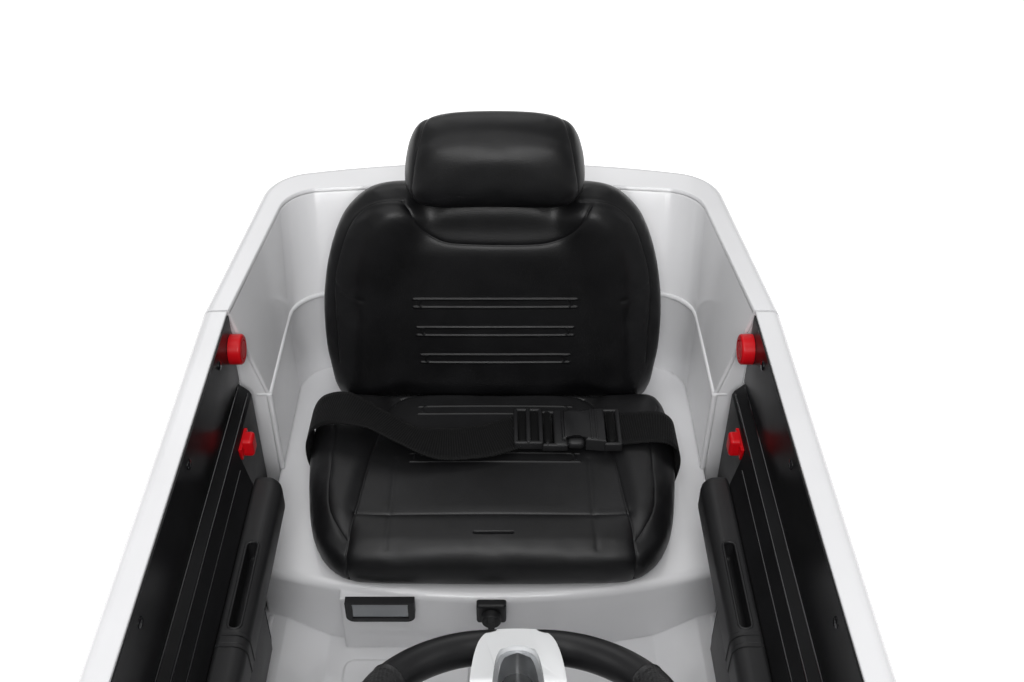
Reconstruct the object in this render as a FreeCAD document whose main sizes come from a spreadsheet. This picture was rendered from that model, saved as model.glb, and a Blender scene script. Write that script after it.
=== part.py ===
"""Electric ride-on car for one child: an open two-door body on a moulded chassis, with a padded seat,
lap belt, steering linkage, two rear drive units and a battery under the seat.

Frame: millimetres, +Z up, the car faces -Y, its left side is +X, and the origin lies on the ground
below the middle of the body."""

import FreeCAD, Part
import math
import os
import re

import Sketcher
from FreeCAD import Rotation, Vector

X, Y, Z = Vector(1, 0, 0), Vector(0, 1, 0), Vector(0, 0, 1)
SIDES = (("left", 1), ("right", -1))

# Driving dimensions
DRIVING = {
    # body
    "body_half": 270.0,        # half the body width at the doors
    "belt_z": 415.0,           # top of the rim that runs round the cockpit
    "rim_width": 24.0,         # width of the rim over the doors
    "rear_rim_width": 44.0,    # width of the rim behind the seat
    "front_y": -566.0,         # nose
    "rear_y": 566.0,           # tail
    "rear_half": 246.0,        # half the body width at the tail
    "nose_bulge": 34.0,        # crown of the nose and tail in plan
    "rim_bow": 22.0,           # crown of the rim behind the seat, in plan
    "skirt_z": 107.0,          # lower edge of the outer shells
    "hood_z": 430.0,           # hood height at the windscreen
    "nose_z": 392.0,           # hood height at the nose
    "cowl_y": -270.0,          # rear edge of the hood
    "wall": 4.0,               # thickness of the moulded shells
    "corner_r": 55.0,          # rounded corners of the tail in plan
    "nose_r": 75.0,            # rounded corners of the nose in plan
    "edge_r": 10.0,            # rounding of the rim
    # cockpit tub
    "tub_half": 220.0,
    "tub_rear_y": 470.0,
    "ledge_z": 310.0,          # edge where the side walls start to lean outwards
    "pan_z": 85.0,             # top of the chassis pan, under the tub
    "floor_z": 125.0,
    "platform_y": 117.0,       # front face of the seat platform at its middle
    "platform_bow": 33.0,      # how far that face falls back at the tub's sides
    "platform_z": 205.0,
    "footwell_half": 170.0,
    "footwell_y": -262.0,
    "sill_z": 140.0,
    "floor_half": 160.0,       # half the flat floor
    "well_half": 204.0,        # half the floor well where it meets the sills
    "door_gap_foot": 3.0,      # door above the sill
    "tub_r": 42.0,             # rear corners of the tub
    # door
    "jamb_y": 285.0,           # rear edge of the door opening
    "fender_y": -150.0,        # front edge of the door opening
    "door_gap": 1.5,
    "hinge_gap": 6.0,          # door edge from the hinge axis
    "hinge_inset": 6.5,        # hinge axis inside the outer face of the door
    "hinge_r": 2.5,
    "ridge_z": 325.0,          # outer edge of the ledge along the door panel
    "panel_inset": 48.0,       # lower face of the door panel from the outer skin
    "ridge_inset": 33.0,       # the ledge's edge from the outer skin
    "belly_z": 290.0,          # where the lower face starts to lean out to the ledge
    "knob_r": 14.5,
    "knob_length": 12.0,
    # wheels and axles
    "wheel_r": 110.0,
    "tyre_width": 68.0,
    "wheel_x": 265.0,          # middle of the tyre from the centre plane
    "front_axle_y": -335.0,
    "rear_axle_y": 420.0,
    "axle_r": 6.0,
    "running_gap": 0.05,       # radial clearance of running fits
    "arch_r": 122.0,
    "front_arch_r": 128.0,
    "flare_width": 12.0,
    "flare_out": 32.0,         # wheel arch lips beyond the body's side
    "rim_r": 76.0,
    # steering
    "kingpin_x": 205.0,
    "arm_length": 45.0,
    "column_tilt": 62.5,       # column angle above the horizon, in degrees
    "column_r": 6.0,
    "wheel_centre_x": 20.0,     # the steering wheel sits a little to the left
    "wheel_centre_y": -147.0,
    "wheel_centre_z": 430.0,
    "steering_r": 106.0,
    "grip_r": 12.0,
    # seat
    "seat_half": 183.0,
    "cushion_half": 193.0,
    "cushion_front_y": 118.0,
    "cushion_bow": 12.0,
    "cushion_rear_y": 385.0,
    "cushion_z": 250.0,
    "back_y": 364.0,           # front face of the backrest where it meets the cushion
    "back_lean": 15.0,         # degrees
    "back_length": 222.0,
    "back_thickness": 50.0,
    "headrest_half": 87.0,
    "headrest_length": 102.0,
    "headrest_thickness": 74.0,
    "belt_width": 45.0,
    "belt_thickness": 2.0,
    # chassis and drive
    "pan_thickness": 7.0,
    "battery_width": 152.0,
    "battery_length": 99.0,
    "battery_height": 94.0,
    "motor_r": 19.0,
}

doc = FreeCAD.newDocument("RideOnCar")
sheet = doc.addObject("Spreadsheet::Sheet", "Sizes")
for row, (alias, value) in enumerate(DRIVING.items(), start=1):
    sheet.set(f"A{row}", alias)
    sheet.set(f"B{row}", str(value))
    sheet.setAlias(f"B{row}", alias)
doc.recompute()

subparts = {}


def bound(expression):
    """An expression on the sheet's cells, from plain alias names."""
    return re.sub(r"[a-z_][a-z0-9_]*", lambda m: "Sizes." + m.group(0), str(expression))


def num(expression):
    """The number that an expression on the sheet's cells gives now."""
    return float(sheet.evalExpression(bound(expression)))


def set_place(obj, x, y, z):
    for axis, expression in zip("xyz", (x, y, z)):
        obj.setExpression(f"Placement.Base.{axis}", bound(expression))


def box(name, x, y, z):
    """A box between pairs of bounds, each an expression, lower bound first."""
    obj = doc.addObject("Part::Box", name)
    for prop, (low, high) in zip(("Length", "Width", "Height"), (x, y, z)):
        obj.setExpression(prop, bound(f"({high}) - ({low})"))
    set_place(obj, x[0], y[0], z[0])
    return obj


def rod(name, axis, radius, low, high, at):
    """A cylinder along axis between two bounds; at gives its other two coordinates in X, Y, Z order."""
    obj = doc.addObject("Part::Cylinder", name)
    obj.setExpression("Radius", bound(radius))
    obj.setExpression("Height", bound(f"({high}) - ({low})"))
    place = {"x": (low, at[0], at[1]), "y": (at[0], low, at[1]), "z": (at[0], at[1], low)}[axis]
    turn = {"x": Rotation(Y, 90), "y": Rotation(X, -90), "z": Rotation()}[axis]
    obj.Placement = FreeCAD.Placement(Vector(), turn)
    set_place(obj, *place)
    return obj


def fuse(name, *objs):
    obj = doc.addObject("Part::MultiFuse", name)
    obj.Shapes = list(objs)
    obj.Refine = True
    return obj


def cut(name, base, *tools):
    for count, tool in enumerate(tools):
        obj = doc.addObject("Part::Cut", name if count == len(tools) - 1 else f"{name}_cut{count}")
        obj.Base, obj.Tool = base, tool
        base = obj
    return base


def feature(name, shape):
    obj = doc.addObject("Part::Feature", name)
    obj.Shape = shape
    return obj


def subpart(label, obj):
    """Registers an object as one piece of the car under the name of its node."""
    obj.Label = label
    subparts[label] = obj
    return obj


def sketch(body, name, role, points):
    """A closed polygon on one of the body's origin planes; each corner is a pair of expressions."""
    plane = next(f for f in body.Origin.OriginFeatures if f.Role == role)
    made = body.newObject("Sketcher::SketchObject", name)
    made.AttachmentSupport = (plane, [""])
    made.MapMode = "FlatFace"
    spots = [Vector(num(u), num(v), 0) for u, v in points]
    count = len(spots)
    for i in range(count):
        made.addGeometry(Part.LineSegment(spots[i], spots[(i + 1) % count]), False)
    for i in range(count):
        made.addConstraint(Sketcher.Constraint("Coincident", i, 2, (i + 1) % count, 1))
    for i, corner in enumerate(points):
        for kind, expression, here in zip(("DistanceX", "DistanceY"), corner, (spots[i].x, spots[i].y)):
            index = made.addConstraint(Sketcher.Constraint(kind, -1, 1, i, 1, here))
            made.setExpression(f"Constraints[{index}]", bound(expression))
    return made


def mirrored(points):
    """A plan outline given for +X, completed with its mirror image."""
    return points + [Vector(-p.x, p.y, p.z) for p in reversed(points) if abs(p.x) > 1e-6]


def polygon(points):
    return Part.Wire(Part.makePolygon(points + points[:1]).Edges)


def prism(wire, low, high):
    """A vertical prism from an outline in plan."""
    face = Part.Face(wire)
    face.translate(Vector(0, 0, low - face.BoundBox.ZMin))
    return face.extrude(Vector(0, 0, high - low))


def block(x, y, z):
    """A plain block between pairs of numbers."""
    return Part.makeBox(x[1] - x[0], y[1] - y[0], z[1] - z[0], Vector(x[0], y[0], z[0]))


def upright_edges(shape, test):
    """Vertical straight edges whose middle passes a test."""
    found = []
    for edge in shape.Edges:
        if isinstance(edge.Curve, Part.Line) and abs(edge.tangentAt(edge.FirstParameter).z) > 0.999:
            if test(edge.CenterOfMass):
                found.append(edge)
    return found


def mirror_x(shape):
    return shape.mirror(Vector(), X)


def cross_rod(radius, y, z, half):
    """A cylinder across the car."""
    return Part.makeCylinder(radius, 2 * half, Vector(-half, y, z), X)


# Outer body: one block from nose to tail, from which the shells and the door skins are taken
D = {alias: num(alias) for alias in DRIVING}
FLARE_X = D["body_half"] + D["flare_out"]
NOSE_TUCK = 14.0              # the body narrows by this towards the nose
BODY_FOOT = D["skirt_z"]
FAR = 800.0                   # beyond the car on every side


def plan_wire(grow):
    """The body's outline in plan, grown outwards by grow."""
    half, tail = D["body_half"] + grow, D["rear_half"] + grow
    nose = half - NOSE_TUCK
    rear, front = D["rear_y"] + grow, D["front_y"] - grow
    side = [
        Vector(nose, front + D["nose_bulge"], 0),
        Vector(half, D["front_axle_y"], 0),
        Vector(half, D["jamb_y"], 0),
        Vector(tail, rear - D["nose_bulge"], 0),
    ]
    other = [Vector(-p.x, p.y, 0) for p in reversed(side)]
    edges = [Part.LineSegment(a, b).toShape() for a, b in zip(side, side[1:])]
    edges.append(Part.Arc(side[-1], Vector(0, rear, 0), other[0]).toShape())
    edges += [Part.LineSegment(a, b).toShape() for a, b in zip(other, other[1:])]
    edges.append(Part.Arc(other[-1], Vector(0, front, 0), side[0]).toShape())
    return Part.Wire(edges)


def plan_prism(grow, low, high):
    """The body's outline with its rounded corners, as an upright prism."""
    solid = prism(plan_wire(grow), low, high)
    tail = upright_edges(solid, lambda c: c.y > D["jamb_y"] + 1)
    solid = solid.makeFillet(D["corner_r"] + grow, tail)
    nose = upright_edges(solid, lambda c: c.y < D["front_y"] + 2 * D["nose_bulge"])
    return solid.makeFillet(D["nose_r"] + grow, nose)


def top_cutter(drop):
    """Everything above the rim and the hood, lowered by drop."""
    belt, hood, nose = (D[k] - drop for k in ("belt_z", "hood_z", "nose_z"))
    start, end = Vector(0, D["fender_y"], belt), Vector(0, D["front_y"] - 60, nose - 25)
    hood_line = Part.BSplineCurve()
    middle = Vector(0, (D["cowl_y"] + D["front_y"]) / 2, (hood + nose) / 2 + 8)
    hood_line.interpolate(
        [start, Vector(0, D["cowl_y"], hood), middle, end], InitialTangent=Vector(0, -1, 0),
        FinalTangent=Vector(0, -1, -0.35),
    )
    tail, sky = Vector(0, FAR, belt), 2 * FAR
    outline = Part.Wire([
        Part.LineSegment(tail, start).toShape(),
        hood_line.toShape(),
        Part.LineSegment(end, Vector(0, end.y, sky)).toShape(),
        Part.LineSegment(Vector(0, end.y, sky), Vector(0, FAR, sky)).toShape(),
        Part.LineSegment(Vector(0, FAR, sky), tail).toShape(),
    ])
    face = Part.Face(outline)
    face.translate(Vector(-FAR, 0, 0))
    return face.extrude(Vector(2 * FAR, 0, 0))


def body_block(inset, rounded):
    """The solid body inside its skin by inset, with the rim and hood edges rounded if asked."""
    solid = plan_prism(-inset, BODY_FOOT - inset, D["hood_z"] + 60).cut(top_cutter(inset))
    if rounded:
        lowest = D["nose_z"] - 40
        edges = []
        for edge in solid.Edges:
            across = isinstance(edge.Curve, Part.Line) and abs(edge.tangentAt(edge.FirstParameter).x) > 0.99
            upright = abs(edge.tangentAt(edge.FirstParameter).z) > 0.9
            if edge.BoundBox.ZMin > lowest and not across and not upright:
                edges.append(edge)
        solid = solid.makeFillet(D["edge_r"], edges)
    return solid


def behind(y):
    return block((-FAR, FAR), (y, FAR), (-FAR, FAR))


def ahead(y):
    return block((-FAR, FAR), (-FAR, y), (-FAR, FAR))


OUTER = body_block(0, True)
INNER = body_block(D["wall"], False)
SKIN_PRISM = plan_prism(0, 0, D["hood_z"] + 60)


# Cockpit tub
TUB_BOTTOM = D["pan_z"]
FOOTWELL_SHOULDER_Y = (-215.0, D["fender_y"] - 4)   # where the footwell widens to the full floor
TUB_FRONT_Z = 295.0                                 # top of the tub's walls under the dashboard
DRIVE_HOLE_R = 36.0                                 # opening in the tub's side for a drive unit
RIM_CORNER_HALF = 222.0                             # half width of the opening at its rear corners


REAR_BOW_R = 620.0                                  # rounding of the bowed rear edge
PLATFORM_EDGE_R = 8.0
PORT_SEAT_X = (-143.0, -66.0)                       # flat seat of the charging socket, on the platform's face
PORT_FACE_Y = D["platform_y"] + 3.0
FLOOR_PADS = (((22.0, 142.0), (-128.0, 30.0)), ((22.0, 142.0), (40.0, 104.0)))
FLOOR_PAD_HEIGHT = 2.5
FLOOR_PAD_R = 10.0
WELL_SLOPE = 20.0                                  # floor edge that stays solid under the well's slope


def outline(corners, lift):
    """A closed outline through corners of (x, y, radius), lifted into place; radius 0 is a sharp corner."""
    pieces = []
    for i, (x, y, radius) in enumerate(corners):
        here = Vector(x, y, 0)
        if not radius:
            pieces.append((here, here, here))
            continue
        before = Vector(*corners[i - 1][:2], 0) - here
        after = Vector(*corners[(i + 1) % len(corners)][:2], 0) - here
        before.normalize()
        after.normalize()
        half = before.getAngle(after) / 2
        reach = radius / math.tan(half)
        inward = (before + after).normalize()
        middle = here + inward * (radius / math.sin(half) - radius)
        pieces.append((here + before * reach, middle, here + after * reach))
    edges = []
    for i, (first, middle, last) in enumerate(pieces):
        if not first.isEqual(last, 1e-9):
            edges.append(Part.Arc(lift(first), lift(middle), lift(last)).toShape())
        edges.append(Part.LineSegment(lift(last), lift(pieces[(i + 1) % len(pieces)][0])).toShape())
    return Part.Wire(edges)


def rounded_bay(half_front, half_rear, front, rear, radius, z):
    """An outline with straight sides, two rounded rear corners and a bowed rear edge, at height z."""
    bow = D["rim_bow"]
    right = [(half_front, front, 0), (half_rear, rear - bow, radius)]
    left = [(-x, y, r) for x, y, r in reversed(right)]
    return outline(right + [(0, rear, REAR_BOW_R)] + left, lambda p: Vector(p.x, p.y, z))


def flare(grow, front):
    """The space above the ledge, leaning out to the rim, grown by grow, from front to the rear wall."""
    low = rounded_bay(D["tub_half"] + grow, D["tub_half"] + grow, front, D["tub_rear_y"] + grow,
                      D["tub_r"] + grow, D["ledge_z"])
    rim_half = D["body_half"] - D["rim_width"]
    rim_rear = D["rear_y"] - D["rear_rim_width"]
    high = rounded_bay(rim_half + grow, RIM_CORNER_HALF + grow, front, rim_rear + grow,
                       D["tub_r"] + grow, D["belt_z"])
    sides = Part.makeLoft([low, high], True, True)
    return sides.fuse(prism(high, D["belt_z"], D["belt_z"] + 30))


def tub_prism(grow, low, high):
    """The lower tub from footwell to rear wall, grown outwards by grow."""
    shoulder_front, shoulder_rear = FOOTWELL_SHOULDER_Y
    right = [
        Vector(D["footwell_half"] + grow, D["footwell_y"] - grow, 0),
        Vector(D["footwell_half"] + grow, shoulder_front, 0),
        Vector(D["tub_half"] + grow, shoulder_rear, 0),
        Vector(D["tub_half"] + grow, D["tub_rear_y"] - D["rim_bow"] + grow, 0),
    ]
    left = [Vector(-p.x, p.y, 0) for p in reversed(right)]
    middle = Vector(0, D["tub_rear_y"] + grow, 0)
    corners = [(p.x, p.y, 0) for p in right[:-1]]
    corners += [(right[-1].x, right[-1].y, D["tub_r"] + grow), (0, middle.y, REAR_BOW_R)]
    corners += [(left[0].x, left[0].y, D["tub_r"] + grow)] + [(p.x, p.y, 0) for p in left[1:]]
    return prism(outline(corners, lambda p: p), low, high)


def floor_well():
    """The air over the floor: a shallow well with sloped sides between the sills."""
    slope = D["wall"]
    front, shoulder = D["footwell_y"] + slope, D["fender_y"]
    rear = D["platform_y"] + 2 * D["platform_bow"]
    narrow = D["footwell_half"] - slope
    foot = D["floor_half"]
    low = [Vector(narrow - 14, front + slope, 0), Vector(foot, shoulder, 0), Vector(foot, rear, 0)]
    high = [Vector(narrow, front, 0), Vector(D["well_half"], shoulder, 0), Vector(D["well_half"], rear, 0)]
    wires = []
    for points, z in ((low, D["floor_z"]), (high, D["sill_z"] + 0.5)):
        wires.append(polygon([Vector(p.x, p.y, z) for p in mirrored(points)]))
    return Part.makeLoft(wires, True, True)


def behind_platform(inset, low, high):
    """Everything behind the seat platform's bowed front face, set back by inset."""
    half, rear = D["tub_half"] + 20, D["tub_rear_y"] + 20
    middle = Vector(0, D["platform_y"] + inset, low)
    end = Vector(half, D["platform_y"] + D["platform_bow"] * (half / D["tub_half"]) ** 2 + inset, low)
    other = Vector(-end.x, end.y, low)
    back, other_back = Vector(half, rear, low), Vector(-half, rear, low)
    wire = Part.Wire([
        Part.Arc(other, middle, end).toShape(),
        Part.LineSegment(end, back).toShape(),
        Part.LineSegment(back, other_back).toShape(),
        Part.LineSegment(other_back, other).toShape(),
    ])
    return Part.Face(wire).extrude(Vector(0, 0, high - low))


def seat_platform():
    """The step that carries the seat, with a rounded front edge and a flat seat for the charging socket."""
    solid = behind_platform(0, TUB_BOTTOM, D["platform_z"])
    front = []
    for edge in solid.Edges:
        at_top = abs(edge.BoundBox.ZMin - D["platform_z"]) < 0.01 and edge.BoundBox.ZLength < 0.01
        if at_top and not isinstance(edge.Curve, Part.Line):
            front.append(edge)
    solid = solid.makeFillet(PLATFORM_EDGE_R, front)
    seat = block(PORT_SEAT_X, (PORT_FACE_Y, PORT_FACE_Y + 24), (D["floor_z"] - 2, D["platform_z"] - 6))
    return solid.fuse(seat)


def floor_pads():
    """Raised foot rests moulded into the floor."""
    pads = []
    for x, y in FLOOR_PADS:
        pad = block(x, y, (D["floor_z"] - 1, D["floor_z"] + FLOOR_PAD_HEIGHT))
        pad = pad.makeFillet(FLOOR_PAD_R, upright_edges(pad, lambda c: True))
        pads += [pad, mirror_x(pad)]
    return pads


def cockpit_tub():
    wall, jamb, fender = D["wall"], D["jamb_y"], D["fender_y"]
    sill_out = D["body_half"] - 2 * wall
    solid = tub_prism(wall, TUB_BOTTOM, D["ledge_z"])
    solid = solid.fuse(flare(wall, jamb).common(block((-FAR, FAR), (jamb, FAR), (0, D["belt_z"] - wall))))
    solid = solid.fuse(block((-sill_out, sill_out), (fender, jamb), (TUB_BOTTOM, D["sill_z"])))
    air = [
        tub_prism(0, D["sill_z"], D["ledge_z"]),
        flare(0, jamb - 1),
        floor_well(),
        block((-FAR, FAR), (fender, jamb), (D["sill_z"], FAR)),
        block((-FAR, FAR), (-FAR, fender), (TUB_FRONT_Z, FAR)),
    ]
    for space in air:
        solid = solid.cut(space)
    platform = seat_platform().common(tub_prism(wall / 2, 0, FAR))
    solid = solid.fuse([platform] + floor_pads()).removeSplitter()
    cavity = tub_prism(0, TUB_BOTTOM - 1, D["platform_z"] - wall)
    solid = solid.cut(cavity.common(behind_platform(wall, 0, FAR)))
    under_floor = tub_prism(-WELL_SLOPE, TUB_BOTTOM - 1, D["floor_z"] - wall)
    solid = solid.cut(under_floor.cut(behind_platform(0, 0, FAR)))
    under_sill = block((D["well_half"] + wall, sill_out - wall), (fender + wall, jamb - wall),
                       (TUB_BOTTOM - 1, D["sill_z"] - wall))
    solid = solid.cut(under_sill).cut(mirror_x(under_sill))
    for side in (1, -1):
        axle = Vector(0, D["rear_axle_y"], D["wheel_r"])
        solid = solid.cut(Part.makeCylinder(DRIVE_HOLE_R, FAR, axle, X * side))
    return solid


subpart("cockpit_tub", feature("cockpit_tub", cockpit_tub()))


# Outer shells
def arch(y, radius):
    """The space of a pair of wheels, across the car outside the tub."""
    tub_side = D["tub_half"] + D["wall"] + 2
    across = cross_rod(radius, y, D["wheel_r"], FAR / 2)
    return across.cut(block((-tub_side, tub_side), (-FAR, FAR), (-FAR, FAR)))


LIGHT_DEPTH = 9.0
HEADLIGHT = ((146.0, 300.0), (-FAR, -440.0), (266.0, 326.0))     # x, y and z bounds on the left side
TAILLIGHT = ((158.0, 300.0), (440.0, FAR), (292.0, 362.0))
GRILLE_HALF = 122.0
GRILLE_Z = (238.0, 326.0)
TUB_CLEAR = 1.0


def light_space(bounds):
    left = block(*bounds)
    return left.fuse(mirror_x(left))


def grille_space():
    return block((-GRILLE_HALF, GRILLE_HALF), (-FAR, D["front_y"] + 60), GRILLE_Z)


def rear_shell():
    wall, jamb = D["wall"], D["jamb_y"]
    solid = OUTER.common(behind(jamb)).cut(INNER.common(behind(jamb + wall)))
    below_rim = block((-FAR, FAR), (-FAR, FAR), (-FAR, D["belt_z"] - wall))
    solid = solid.cut(flare(0, jamb - 5)).cut(flare(wall, jamb - 5).common(below_rim))
    solid = solid.cut(tub_prism(wall, 0, D["ledge_z"]))
    solid = solid.cut(arch(D["rear_axle_y"], D["arch_r"]))
    return solid.cut(light_space(TAILLIGHT)).cut(subparts["cockpit_tub"].Shape)


def front_shell():
    wall, fender = D["wall"], D["fender_y"]
    rim_half = D["body_half"] - D["rim_width"]
    tub_out = D["tub_half"] + wall + TUB_CLEAR
    solid = OUTER.common(ahead(fender)).cut(INNER.common(ahead(fender - wall)))
    solid = solid.cut(block((-rim_half, rim_half), (D["cowl_y"], fender + 1), (TUB_FRONT_Z, FAR)))
    solid = solid.cut(block((-tub_out, tub_out), (fender - 2 * wall, fender + 1), (0, TUB_FRONT_Z + 1)))
    solid = solid.cut(arch(D["front_axle_y"], D["front_arch_r"]))
    solid = solid.cut(light_space(HEADLIGHT)).cut(grille_space())
    return solid.cut(subparts["cockpit_tub"].Shape)


def lights(bounds):
    """The left and right lens, flush with the body."""
    return OUTER.cut(body_block(LIGHT_DEPTH, False)).common(light_space(bounds))


GRILLE_FRAME = 9.0
GRILLE_BARS = 4
GRILLE_BAR = 7.0
GRILLE_THICK = 12.0


def grille():
    """A frame with level bars, flush with the nose."""
    low, high = GRILLE_Z
    inside = block((-GRILLE_HALF + GRILLE_FRAME, GRILLE_HALF - GRILLE_FRAME), (-FAR, FAR),
                   (low + GRILLE_FRAME, high - GRILLE_FRAME))
    pattern = grille_space().cut(inside)
    step = (high - low - 2 * GRILLE_FRAME) / (GRILLE_BARS + 1)
    for i in range(GRILLE_BARS):
        z = low + GRILLE_FRAME + (i + 1) * step
        bar = block((-GRILLE_HALF + 1, GRILLE_HALF - 1), (-FAR, D["front_y"] + 60),
                    (z - GRILLE_BAR / 2, z + GRILLE_BAR / 2))
        pattern = pattern.fuse(bar)
    skin = OUTER.cut(body_block(GRILLE_THICK, False))
    return pattern.common(skin).removeSplitter()


BUMPER_DEPTH = 15.0
BUMPER_Z = (100.0, 200.0)
BUMPER_GAP = 3.0
BUMPER_EDGE = 6.0


def bumper(reach):
    """A strip wrapped round one end of the body; reach is the half-space that it fills."""
    low, high = BUMPER_Z
    outer = plan_prism(BUMPER_DEPTH, low, high)
    rims = [e for e in outer.Edges if abs(e.tangentAt(e.FirstParameter).z) < 0.1]
    outer = outer.makeFillet(BUMPER_EDGE, rims)
    strip = outer.cut(SKIN_PRISM).common(reach)
    for y, radius in ((D["front_axle_y"], D["front_arch_r"]), (D["rear_axle_y"], D["arch_r"])):
        strip = strip.cut(cross_rod(radius + D["flare_width"] + BUMPER_GAP, y, D["wheel_r"], FAR / 2))
    return strip


FLARE_FOOT = 100.0


def fender_flares():
    """Four arches that cover the tyres outside the body."""
    pieces = []
    for y, radius in ((D["front_axle_y"], D["front_arch_r"]), (D["rear_axle_y"], D["arch_r"])):
        for side in (1, -1):
            start = Vector(side * (D["rear_half"] - 10), y, D["wheel_r"])
            length = FLARE_X - D["rear_half"] + 10
            ring = Part.makeCylinder(radius + D["flare_width"], length, start, X * side)
            face = [e for e in ring.Edges if abs(abs(e.CenterOfMass.x) - FLARE_X) < 0.01]
            ring = ring.makeFillet(D["flare_width"] * 0.6, face)
            ring = ring.cut(Part.makeCylinder(radius, 2 * length, start - X * side * 5, X * side))
            ring = ring.cut(SKIN_PRISM).cut(block((-FAR, FAR), (-FAR, FAR), (-FAR, FLARE_FOOT)))
            pieces.append(ring)
    return Part.makeCompound([s for p in pieces for s in p.Solids])


subpart("rear_shell", feature("rear_shell", rear_shell()))
subpart("front_shell", feature("front_shell", front_shell()))
subpart("headlights", feature("headlights", lights(HEADLIGHT)))
subpart("taillights", feature("taillights", lights(TAILLIGHT)))
subpart("grille", feature("grille", grille()))
subpart("front_bumper", feature("front_bumper", bumper(ahead(D["front_axle_y"]))))
subpart("rear_bumper", feature("rear_bumper", bumper(behind(D["rear_axle_y"]))))
subpart("fender_flares", feature("fender_flares", fender_flares()))


# Doors: a white tray-shaped skin, a black inner panel, an armrest, a lock knob and a latch
HINGE_X = D["body_half"] - D["hinge_inset"]
HINGE_Y = D["fender_y"]
HINGE_LUGS = ((150.0, 166.0), (348.0, 364.0))      # heights of the door's hinge lugs
LUG_R = D["hinge_r"] + 1.7
BOSS_HEIGHT = 10.0                                 # hinge bosses of the fender, above and below a lug
LUG_GAP = 0.4
ARM_HALF = 2.4                                     # half thickness of the arm that carries a lug
DOOR_Y = (HINGE_Y + D["hinge_gap"], D["jamb_y"] - D["door_gap"])
PANEL_FACE = D["body_half"] - D["panel_inset"]
PANEL_REAR_Y = DOOR_Y[1] - 10.0                    # the thick part swings clear of the jamb
DOOR_FOOT = D["sill_z"] + D["door_gap_foot"]
PANEL_FLOOR_Z = DOOR_FOOT + D["wall"]
RIM_INSIDE = D["body_half"] - D["rim_width"]
SKIN_INSIDE = D["body_half"] - D["wall"]
KNOB_Y, KNOB_Z = PANEL_REAR_Y - 7.0, 383.0
KNOB_FACE = RIM_INSIDE - 1.5                       # strip under the rim, which carries the knob
SPINDLE_R, SPINDLE_LENGTH = 4.0, 9.0
LATCH_Y, LATCH_Z = 214.0, 311.0
RIDGE_X = D["body_half"] - D["ridge_inset"]
LATCH_FACE = RIDGE_X - 2.0                         # flat rear end of the panel, where the latch slides
BELLY_REAR_Y = (182.0, 196.0)                      # where the lower face steps back to that flat end
LATCH_TRAVEL = 12.0
LATCH_STEM = (8.0, 6.0)                            # length along the door and height
LATCH_SLIP = 0.3


def pin_rod(radius, low, high):
    return Part.makeCylinder(radius, high - low, Vector(HINGE_X, HINGE_Y, low), Z)


def door_skin():
    """The left door's outer skin with its rim, ends, foot flange and hinge lugs."""
    wall, (y0, y1) = D["wall"], DOOR_Y
    solid = OUTER.common(block((RIM_INSIDE, FAR), (y0, y1), (DOOR_FOOT, FAR)))
    hollow = INNER.common(block((0, FAR), (y0 + wall, y1 - wall), (DOOR_FOOT + wall, FAR)))
    solid = solid.cut(hollow)
    for low, high in HINGE_LUGS:
        arm = block((HINGE_X - ARM_HALF, HINGE_X + ARM_HALF), (HINGE_Y, y0 + wall), (low, high))
        solid = solid.fuse(arm).fuse(pin_rod(LUG_R, low, high))
    return solid.cut(pin_rod(D["hinge_r"] + D["running_gap"], 0, FAR)).removeSplitter()


def profile_bar(points, low, high):
    """A bar along the car with a cross-section of (x, z) points."""
    face = Part.Face(polygon([Vector(x, low, z) for x, z in points]))
    return face.extrude(Vector(0, high - low, 0))


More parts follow.
